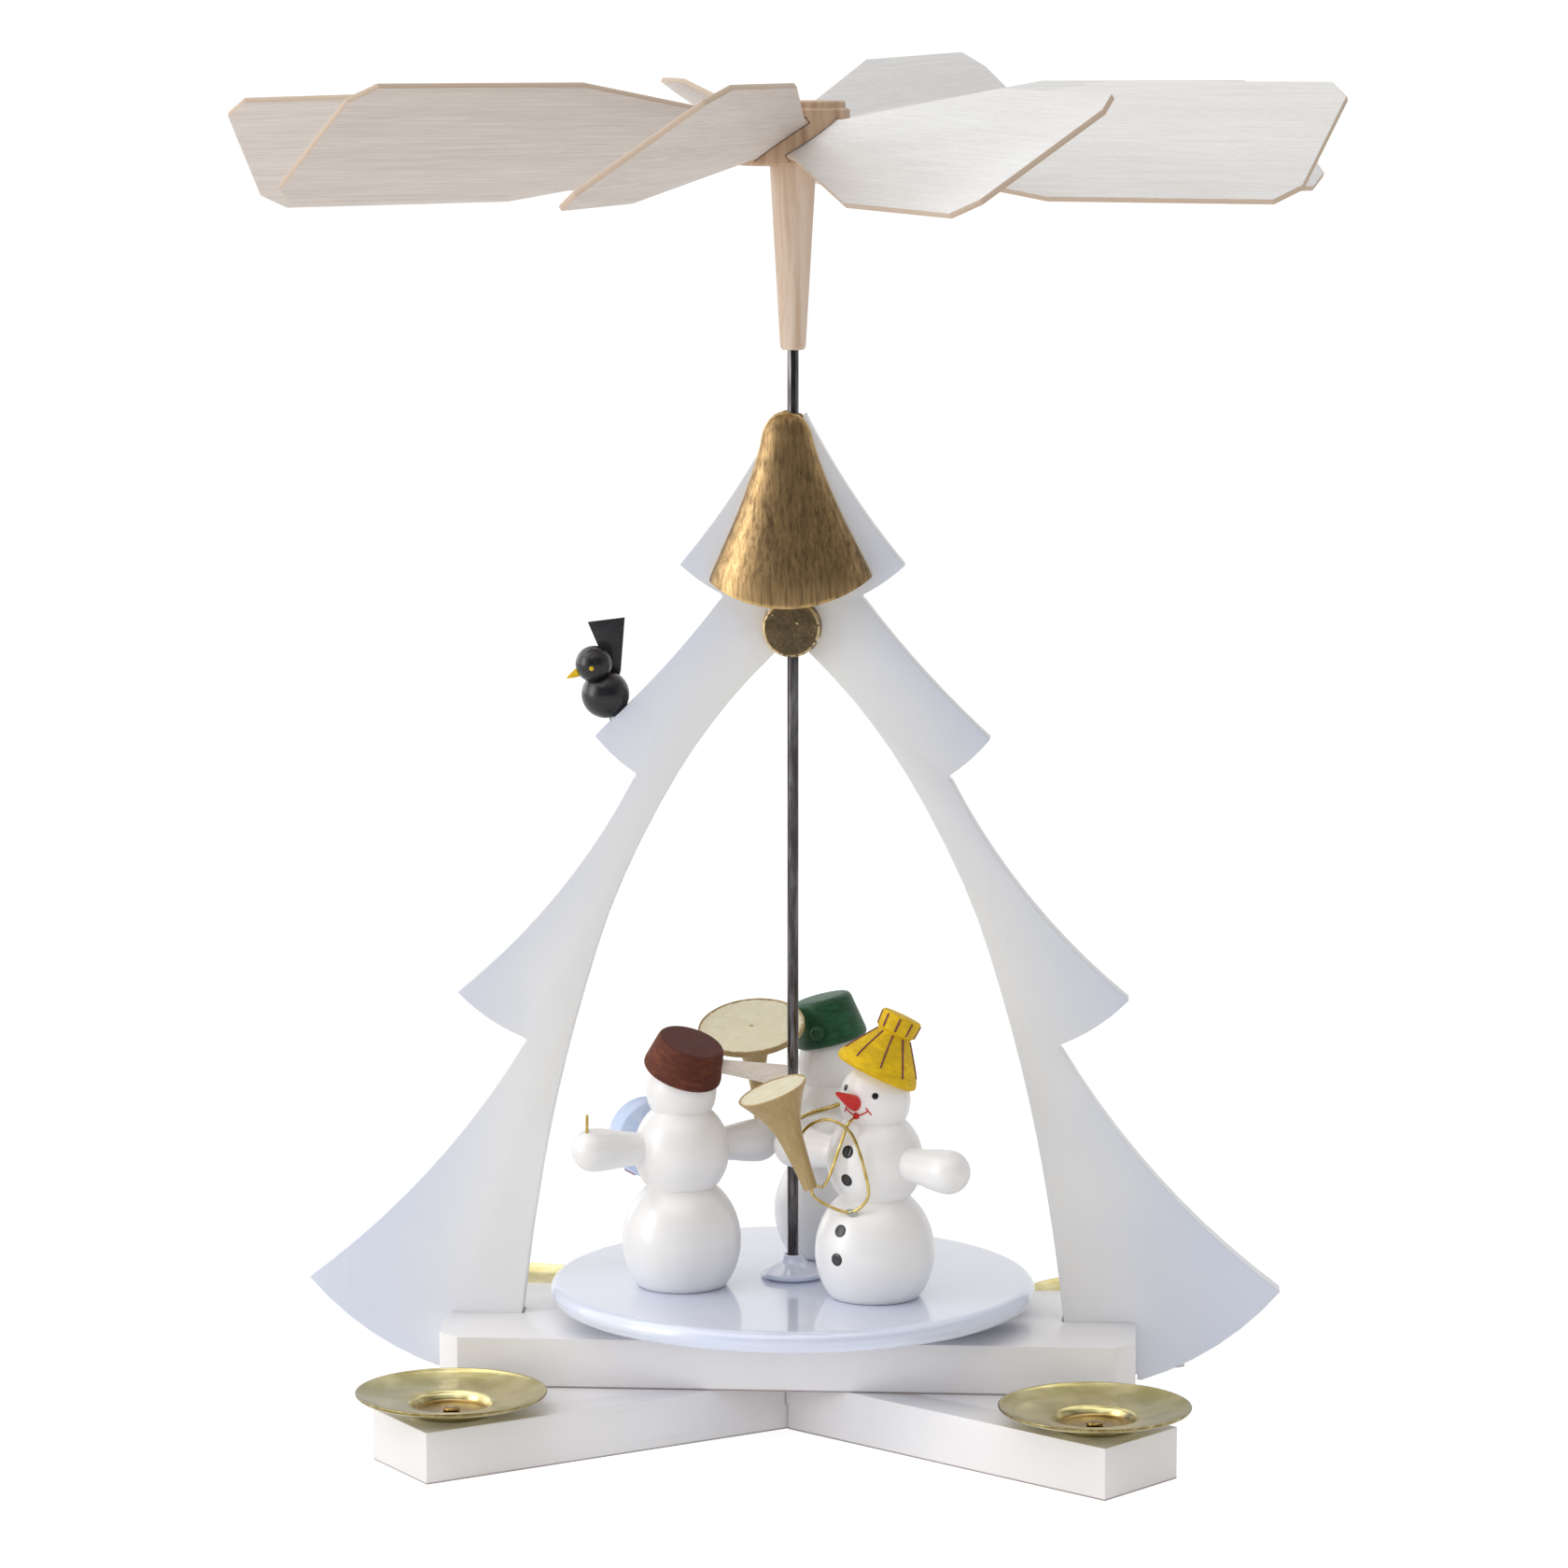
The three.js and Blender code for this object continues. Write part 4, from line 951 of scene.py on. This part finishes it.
class PYRAMID_OT_turntable(bpy.types.Operator):
    """Builds the bearing cup, the spindle and the turntable with its collar"""
    bl_idname = "pyramid.turntable"
    bl_label = "Turntable"

    def execute(self, context):
        cup = softened([(0, 13.75), (3.5, 13.75), (3.5, 20.3), (1.4, 20.3), (0, 19.0)], 0.2, 3)
        solid("foot_bearing", turned(cup, 48), "wire_brass", "frame")
        r = ROD_RADIUS
        rod = [(0, ROD_FOOT), (r, ROD_FOOT + 3), (r, ROD_TOP - 0.3), (r - 0.3, ROD_TOP), (0, ROD_TOP)]
        solid("spindle", turned(softened(rod, 0.1, 2), 40), "rod_steel", "rotor")
        low, edge = TABLE_BOTTOM, 1.95
        rim = [(TABLE_RADIUS - edge + edge * math.cos(t), low + 2 + 2 * math.sin(t))
               for t in (math.radians(a) for a in range(-90, 91, 10))]
        solid("turntable", turned([(BORE, low)] + rim + [(BORE, TABLE_TOP), (BORE, low)], 160),
              "table_lacquer", "rotor")
        collar = [(BORE, 0), (5.3, 0), (5.35, 0.28), (6.05, 0.35), (6.1, 1.2), (4.9, 1.7), (3.9, 2.15),
                  (3.1, 2.6), (2.5, 3.1), (2.15, 3.6), (1.9, 4.4), (BORE, 4.4), (BORE, 0)]
        collar = [(radius, TABLE_TOP + z) for radius, z in collar]
        solid("turntable_collar", turned(softened(collar, 0.25, 3), 64), "table_lacquer", "rotor",
              name="collar")
        return {"FINISHED"}


# Snowmen

# Degrees that an arm points to the left of straight ahead, and up
ARMS = {
    "drummer": {"left": (87, 3), "right": (-79, -2)},
    "horn_player": {"left": (86, -1), "right": (-86, 1)},
    "tuba_player": {"left": (88, 1), "right": (-88, 1)},
}
# Degrees round the spindle where a snowman stands, and that it faces
STANDS = {"drummer": (201, 119), "horn_player": (-41.8, -123), "tuba_player": (73.5, -4)}
# Height of a hat, and degrees that it tilts back and aside
HATS = {"drummer": (40, 20.8, -9), "horn_player": (41.7, 18.8, 17.5), "tuba_player": (41.2, 14, 0)}


def stand(who):
    """The snowman's own frame: facing X, its left side towards Y, its foot at Z = 0."""
    at, facing = STANDS[who]
    spot = move(BAND * math.cos(math.radians(at)), BAND * math.sin(math.radians(at)), TABLE_TOP)
    return spot @ turn("Z", facing)


def hat_frame(who):
    up, back, left = HATS[who]
    return stand(who) @ move(0, 0, up) @ turn("Y", -back) @ turn("X", -left)


def arm_frame(who, side):
    angle, rise = ARMS[who][side]
    return stand(who) @ move(0, 0, ARM_AT) @ turn("Z", angle) @ turn("Y", 90 - rise)


def on_ball(shape, side, z, lift=0.0):
    """A point of a ball's surface and the way out there, at side degrees to the left and height z."""
    at, half, radius = shape
    r = radius * math.sqrt(max(0.0, 1 - ((z - at) / half) ** 2))
    flat = Vector((math.cos(math.radians(side)), math.sin(math.radians(side)), 0))
    out = Vector((flat.x * r / radius ** 2, flat.y * r / radius ** 2, (z - at) / half ** 2)).normalized()
    return Vector((flat.x * r, flat.y * r, z)) + out * lift, out


def add_dot(name, who, shape, side, z, radius, look_name, height=0.14):
    point, out = on_ball(shape, side, z)
    place = stand(who) @ towards(point, point + out)
    piece(f"{who}_{name}", dot(radius, height), look_name, "rotor", place)


def add_line(name, who, shape, spots, radius, look_name):
    """A painted line on a ball through (side, height) spots."""
    points = [on_ball(shape, side, z, 0.04)[0] for side, z in spots]
    piece(f"{who}_{name}", swept(curve_through(points, 18), radius, 8), look_name, "rotor", stand(who))


def arm_shape():
    span = HAND_AT - 8.5
    wrist = []
    for i in range(13):
        s = i / 12
        wrist.append((3.1 + 0.95 * s * s * (3 - 2 * s), 8.5 + span * s))
    hand = ball_side((HAND_AT, HAND_RADIUS, HAND_RADIUS), HAND_AT, HAND_AT + HAND_RADIUS, 12)
    return [(0, 4), (3.1, 4)] + wrist + hand[1:-1] + [(0, HAND_AT + HAND_RADIUS)]


class PYRAMID_OT_snowmen(bpy.types.Operator):
    """Builds the three snowmen with their arms, noses, faces and buttons"""
    bl_idname = "pyramid.snowmen"
    bl_label = "Snowmen"

    def execute(self, context):
        crown = HEAD[0] + HEAD[1]
        profile = [(0, 0), (7.7, 0), (8.0, 0.06)] + ball_side(BELLY, 0.2, WAIST_AT, 22)
        profile += ball_side(CHEST, WAIST_AT, NECK_AT, 18)[1:]
        profile += ball_side(HEAD, NECK_AT, crown - 0.05, 18)[1:] + [(0, crown)]
        nose = [(0, -1.5), (1.3, -1.5), (1.45, 0.4), (1.42, 0.9), (1.12, 2.4), (0.76, 4.2), (0.42, 5.9),
                (0.2, 6.5), (0, 6.6)]
        for who in STANDS:
            solid(f"{who}_body", turned(profile), "snow_lacquer", "rotor", stand(who))
            for side in ("left", "right"):
                solid(f"{who}_arm_{side}", turned(arm_shape(), 72), "snow_lacquer", "rotor",
                      arm_frame(who, side))
            solid(f"{who}_nose", turned(softened(nose, 0.3, 3), 48), "red_paint", "rotor",
                  stand(who) @ move(*NOSE_AT) @ turn("Y", NOSE_DOWN))
            self.face(who)
            self.buttons(who)
        return {"FINISHED"}

    def face(self, who):
        for side, angle, z in EYES:
            add_dot(f"eye_{side}", who, HEAD, angle, z, 0.62, "black_paint")
            end = SMILE_HALF if side == "left" else -SMILE_HALF
            tick = [(MOUTH_SIDE + end * part, z) for part, z in ((0.82, 36.6), (1, 36.0), (1.22, 35.3))]
            add_line(f"cheek_{side}", who, HEAD, tick, 0.13, "red_paint")
        smile = [(MOUTH_SIDE + a, MOUTH_AT + 1.1 * abs(a / SMILE_HALF) ** 1.4)
                 for a in (-22, -15, -8, 0, 8, 15, 22)]
        add_line("smile", who, HEAD, smile, 0.14, "red_paint")
        add_dot("mouth", who, HEAD, MOUTH_SIDE, MOUTH_AT, 0.66, "red_paint", 0.5)

    def buttons(self, who):
        spots = [(CHEST, 28.5, 0), (CHEST, 23.2, -1), (BELLY, 13.9, -3), (BELLY, 8.7, -3)]
        for i, (shape, z, side) in enumerate(spots[2:] if who == "drummer" else spots):
            add_dot(f"button_{i + 1}", who, shape, side, z, 1.18, "black_paint")


class PYRAMID_OT_hats(bpy.types.Operator):
    """Builds the pot with its handle, the pointed hat with its stripes and the bucket"""
    bl_idname = "pyramid.hats"
    bl_label = "Hats"

    def execute(self, context):
        pot = [(0, 0), (6.9, 0), (7.4, 0.5), (7.4, 1.2), (6.4, 6.1), (6.15, 6.75), (5.7, 6.9), (0, 6.9)]
        place = hat_frame("drummer")
        solid("drummer_hat", turned(softened(pot, 0.25, 4)), "brown_paint", "rotor", place, "pot")
        handle = from_own("drummer_pot_handle", place, 0.3 * MM)
        solid("drummer_pot_handle", handle, "flat_maple", "rotor", place, "pot_handle")
        bucket = [(0, 0), (6.45, 0), (6.9, 0.5), (6.9, 1.2), (5.6, 8.1), (5.0, 8.8), (0, 8.8)]
        place = hat_frame("tuba_player")
        solid("tuba_player_hat", turned(softened(bucket, 0.5, 4)), "green_paint", "rotor", place, "bucket")
        knob = [(0, 5.5), (1.3, 5.5), (1.4, 7.1), (1.2, 7.8), (0.8, 8.1), (0, 8.2)]
        piece("bucket_knob", turned(softened(knob, 0.3, 4), 36), "green_paint", "rotor",
              place @ move(0, 0, 3.1) @ turn("Z", -10) @ turn("X", 90))
        self.pointed(context)
        return {"FINISHED"}

    def pointed(self, context):
        """The yellow hat, with brown lines painted from its brim to its cuff."""
        smooth = smooth_pairs([(7.9, 0.5), (7.75, 1.4), (6.75, 3.2), (5.0, 5.7), (3.25, 8.1)], 28)
        cuff = [(3.2, 8.35), (3.65, 8.7), (3.85, 11.6), (3.65, 11.9)]
        outline = [(0, 0), (7.4, 0)] + smooth + cuff + [(0, 11.9)]
        place = hat_frame("horn_player")
        solid("horn_player_hat", turned(softened(outline, 0.25, 3)), "yellow_paint", "rotor", place,
              "pointed_hat")
        rng = random.Random(context.scene.pyramid_look.seed)
        count = 9
        for i in range(count):
            angle = 360 / count * i + rng.uniform(-5, 5)
            lean = rng.uniform(-5, 5)
            low = rng.uniform(1.4, 2.4)
            line = [(r, z) for r, z in smooth if z > low]
            band = [(3.65 + (z - 8.7) * 0.07, z) for z in (8.9, 9.8, 10.8, 11.5)]
            for name, part in (("line", line), ("cuff", band)):
                points = []
                for k, (r, z) in enumerate(part):
                    a = math.radians(angle + (lean * k / len(part) if name == "line" else lean))
                    points.append((r * math.cos(a), r * math.sin(a), z))
                piece(f"hat_{name}_{i + 1}", swept(points, rng.uniform(0.19, 0.25), 8), "stripe_paint",
                      "rotor", place)


# Instruments

# Ends of the flared tubes in the snowman's own frame
HORN = ((11.8, -6, 21.5), (17.5, -10.6, 40.3))
TUBA = ((-13, -4.6, 27.2), (-14, -11.6, 46.1))


def lead(start, stop, reach=1.6):
    """Three points of the straight end of a wire, from outside a flared tube's narrow end to inside it."""
    a, b = Vector(start), Vector(stop)
    way = (b - a).normalized()
    return [a - way * reach, a, a + way * reach]


def flared(name, who, ends, shape, face):
    """A flared tube with a hollowed face of another colour."""
    length = (Vector(ends[1]) - Vector(ends[0])).length
    mouth = shape[-1][0]
    smooth = smooth_pairs([(r, t * length) for r, t in shape], 40)
    profile = [(0, 0)] + smooth + [(mouth, length - 0.1), (mouth - 0.2, length), (face, length - 0.3),
                                   (0, length - 0.3)]
    place = stand(who) @ towards(*ends)
    solid(name, turned(softened(profile, 0.1, 3)), "tan_paint", "rotor", place)
    disc = [(0, length - 0.4), (face, length - 0.4), (face, length - 0.2), (0, length - 0.2)]
    piece(f"{name}_face", turned(disc), "cream_face", "rotor", place, shade=face)
    return place, length


class PYRAMID_OT_instruments(bpy.types.Operator):
    """Builds the drum and its stick, the horn and the tuba with their wires"""
    bl_idname = "pyramid.instruments"
    bl_label = "Instruments"

    def execute(self, context):
        self.drum()
        shape = [(1.3, 0), (1.6, 0.2), (1.9, 0.35), (2.25, 0.5), (2.95, 0.65), (4.75, 0.84), (6.6, 0.985)]
        flared("horn", "horn_player", HORN, shape, 6.3)
        route = [(6.2, 0, 34.6), (8.8, 0.3, 33.7), (10, -0.7, 29.6), (11.3, -2.3, 23.8), (11, -3.6, 22.1),
                 (9.8, -5.5, 21.5), (9.8, -7.7, 22.3), (10.9, -9.1, 26.2), (11.3, -8.8, 30.4),
                 (11.8, -6.4, 33.1), (11.5, -2.2, 34.7), (10, 1.4, 32.8), (8.9, 4.2, 25.3),
                 (8.4, 4.5, 20.5), (8.6, 1.9, 17.8), (8.9, 0, 17.3), (10.4, -3.2, 18.4)] + lead(*HORN)
        solid("horn_wire", swept(curve_through(route, 260), 0.3), "wire_brass", "rotor", stand("horn_player"))
        piece("belly_glue", ball(1.0, (0.7, 1.3, 0.8)), "clear_glue", "rotor",
              stand("horn_player") @ move(8.4, 0.9, 17.2))
        shape = [(1.5, 0), (1.55, 0.35), (2.2, 0.6), (3.2, 0.75), (5.5, 0.86), (8.2, 0.91), (10.1, 0.942),
                 (10.15, 0.95)]
        place, length = flared("tuba", "tuba_player", TUBA, shape, 9.8)
        piece("tuba_centre", dot(0.42, 0.1), "tan_paint", "rotor", place @ move(0, 0, length - 0.2))
        route = lead(*TUBA)[::-1] + [
            (-12.4, -3.9, 24.1), (-11.1, -5.2, 23.5), (-9.3, -8, 24.8), (-4, -10.2, 28.6), (2.4, -8.8, 30.7),
            (6.9, -5.9, 32.4), (8.5, -2, 33.9), (6.1, 0, 34.5)]
        solid("tuba_wire", swept(curve_through(route, 160), 0.4), "wire_brass", "rotor", stand("tuba_player"))
        return {"FINISHED"}

    def drum(self):
        """The drum on its peg, its skin and the mark on its side, and the stick in the left hand."""
        place = stand("drummer") @ move(*DRUM_AT) @ turn("Y", 90)
        shell = [(0, -4), (1.1, -4), (1.1, 0), (7.2, 0), (7.45, 0.25), (7.45, 4.85), (7.2, 5.1), (0, 5.1)]
        solid("drum", turned(softened(shell, 0.2, 3)), "blue_paint", "rotor", place)
        skin = [(0, 5.0), (6.55, 5.0), (6.6, 5.14), (0, 5.14)]
        piece("drum_skin", turned(skin), "drum_head", "rotor", place)
        mark = [(7.46 * math.cos(math.radians(a)), 7.46 * math.sin(math.radians(a)), z)
                for a, z in ((28, 1.2), (31, 2.0), (33, 3.1), (36, 3.9))]
        piece("drum_mark", swept(curve_through(mark, 12), 0.22, 10), "magenta_paint", "rotor", place)
        along = HAND_AT + 1.6
        rise = math.radians(ARMS["drummer"]["left"][1])
        top = HAND_RADIUS + 2.8
        stick = softened([(0, top - 8), (0.3, top - 8), (0.3, top), (0, top)], 0.1, 3)
        solid("drummer_stick", turned(stick, 24), "wire_brass", "rotor",
              stand("drummer") @ move(0, along * math.cos(rise), ARM_AT + along * math.sin(rise)))


# Wing wheel

def blade_frame(index):
    aside, twist, lift = BLADE_STRAY[index]
    angle = BLADE_START + index * 360 / len(BLADE_STRAY) + aside
    return move(0, 0, WHEEL_MIDDLE) @ turn("Z", angle) @ turn("Y", -lift) @ turn("X", BLADE_PITCH + twist)


class PYRAMID_OT_wheel(bpy.types.Operator):
    """Builds the sleeve, the hub and the thin blades"""
    bl_idname = "pyramid.wheel"
    bl_label = "Wing wheel"

    def execute(self, context):
        low, top = SLEEVE_BOTTOM, SLEEVE_TOP
        sleeve = [(BORE, low), (2.0, low), (2.35, low + 0.5), (4.25, top), (2.4, top + 0.05), (2.4, top + 7),
                  (0, top + 7)]
        solid("wheel_sleeve", turned(softened(sleeve, 0.3, 4), 72), "turned_maple", "rotor")
        solid("wheel_hub", from_node("wheel_hub", 0.18 * MM), "sawn_maple", "rotor")
        edge = context.scene.pyramid_look.blade_edge
        rng = random.Random(context.scene.pyramid_look.seed)
        for i in range(len(BLADE_STRAY)):
            place, node = blade_frame(i), f"blade_{i + 1}"
            solid(node, from_own(node, place, edge), "blade_wood", "rotor", place, shade=rng.random())
        return {"FINISHED"}


# Stage

LAMPS = (
    # name, setting with its power, size, spot and aim in metres
    ("lamp_above", "key", (3.6, 3.0), (-0.6, -0.4, 2.45), (0, 0, 0.1)),
    ("lamp_side", "side", (0.6, 1.1), (-1.25, -0.55, 0.42), (0, 0, 0.08)),
)


def aimed(name, data, spot, aim):
    """Places a lamp or the camera at a spot, turned towards another."""
    obj = bpy.data.objects.new(name, data)
    way = Vector(aim) - Vector(spot)
    obj.matrix_world = Matrix.Translation(spot) @ way.to_track_quat("-Z", "Y").to_matrix().to_4x4()
    bpy.context.scene.collection.objects.link(obj)
    return obj


def lamp(name, size, power, spot, aim):
    data = bpy.data.lights.new(name, "AREA")
    data.shape = "RECTANGLE"
    data.size, data.size_y = size
    data.energy = power
    obj = aimed(name, data, spot, aim)


class PYRAMID_OT_stage(bpy.types.Operator):
    """Builds the floor, the lamps, the sky and the camera"""
    bl_idname = "pyramid.stage"
    bl_label = "Stage"

    def execute(self, context):
        stage = context.scene.pyramid_stage
        self.floor()
        self.sky(context.scene, stage.sky)
        for name, power, size, spot, aim in LAMPS:
            lamp(name, size, getattr(stage, power), spot, aim)
        self.camera(context.scene, stage)
        context.scene.view_settings.view_transform = "Standard"
        return {"FINISHED"}

    def floor(self):
        """A pale floor that is white where the camera sees it unshaded, and reflects like paper."""
        bm = bmesh.new()
        bmesh.ops.create_grid(bm, x_segments=1, y_segments=1, size=6.0)
        mesh = bpy.data.meshes.new("floor")
        bm.to_mesh(mesh)
        bm.free()
        material = bpy.data.materials.new("floor_white")
        material.use_nodes = True
        tree = material.node_tree
        seen = tree.nodes["Principled BSDF"]
        paper = tree.nodes.new("ShaderNodeBsdfPrincipled")
        for shader, grey, glow in ((seen, 0.35, 0.85), (paper, 0.8, 0.3)):
            shader.inputs["Base Color"].default_value = (grey, grey, grey, 1)
            shader.inputs["Roughness"].default_value = 0.8
            shader.inputs["Specular IOR Level"].default_value = 0.0
            shader.inputs["Emission Color"].default_value = (1, 1, 1, 1)
            shader.inputs["Emission Strength"].default_value = glow
        self.apart(tree, "Is Camera Ray", paper, seen, tree.nodes["Material Output"])
        mesh.materials.append(material)
        obj = bpy.data.objects.new("floor", mesh)
        bpy.context.scene.collection.objects.link(obj)

    def apart(self, tree, kind, other, own, out=None):
        """Uses one shader for one kind of ray and the other for all the rest."""
        ray = tree.nodes.new("ShaderNodeLightPath")
        mix = tree.nodes.new("ShaderNodeMixShader")
        tree.links.new(ray.outputs[kind], mix.inputs[0])
        tree.links.new(other.outputs[0], mix.inputs[1])
        tree.links.new(own.outputs[0], mix.inputs[2])
        if out is not None:
            tree.links.new(mix.outputs[0], out.inputs[0])
        return mix

    def sky(self, scene, strength):
        """White where the camera looks, even light on dull surfaces, a room for glossy ones to mirror."""
        world = bpy.data.worlds.new("studio")
        world.use_nodes = True
        tree = world.node_tree
        tree.nodes.clear()
        split = tree.nodes.new("ShaderNodeSeparateXYZ")
        tree.links.new(tree.nodes.new("ShaderNodeTexCoord").outputs["Generated"], split.inputs[0])
        x, y, z = (Value(tree, out) for out in split.outputs)
        left = (-x).step(0.35, 0.85, 0.0, 1.6)
        back = y.step(0.15, 0.7, 0.0, 0.8)
        right = x.step(0.75, 0.95, 0.0, 0.5)
        above = z.step(0.55, 0.85, 0.0, 1.2)
        walls = left + right + back + above + 0.14
        even, mirrored, white = (tree.nodes.new("ShaderNodeBackground") for _ in range(3))
        for shader, power in ((even, strength), (mirrored, walls), (white, 1.05)):
            shader.inputs["Color"].default_value = (1, 1, 1, 1)
            connect(tree, shader.inputs["Strength"], power)
        room = self.apart(tree, "Is Glossy Ray", even, mirrored)
        self.apart(tree, "Is Camera Ray", room, white, tree.nodes.new("ShaderNodeOutputWorld"))
        scene.world = world

    def camera(self, scene, stage):
        data = bpy.data.cameras.new("camera")
        data.lens = stage.lens
        data.sensor_width = 36.0
        data.clip_end = 20.0
        scene.camera = aimed("camera", data, stage.eye, stage.aim)


class PYRAMID_PT_panel(bpy.types.Panel):
    """The steps that build the pyramid's looks"""
    bl_label = "Christmas pyramid"
    bl_idname = "PYRAMID_PT_panel"
    bl_space_type = "VIEW_3D"
    bl_region_type = "UI"
    bl_category = "Pyramid"

    def draw(self, context):
        layout = self.layout
        for key, settings in SETTINGS.items():
            for setting in settings.__annotations__:
                layout.prop(getattr(context.scene, key), setting)
        for operator in STEPS:
            layout.operator(operator.bl_idname)


STEPS = (
    PYRAMID_OT_base, PYRAMID_OT_dishes, PYRAMID_OT_tree, PYRAMID_OT_bird, PYRAMID_OT_turntable,
    PYRAMID_OT_snowmen, PYRAMID_OT_hats, PYRAMID_OT_instruments, PYRAMID_OT_wheel, PYRAMID_OT_stage,
)
SETTINGS = {"pyramid_look": LookSettings, "pyramid_paint": PaintSettings, "pyramid_stage": StageSettings}
CLASSES = (*SETTINGS.values(), *STEPS, PYRAMID_PT_panel)


def register():
    for cls in CLASSES:
        bpy.utils.register_class(cls)
    for key, settings in SETTINGS.items():
        setattr(bpy.types.Scene, key, bpy.props.PointerProperty(type=settings))


def unregister():
    for key in SETTINGS:
        delattr(bpy.types.Scene, key)
    for cls in reversed(CLASSES):
        bpy.utils.unregister_class(cls)


def main():
    register()
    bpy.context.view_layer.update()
    for operator in STEPS:
        getattr(bpy.ops.pyramid, operator.bl_idname.split(".")[1])()


if __name__ == "__main__":
    main()
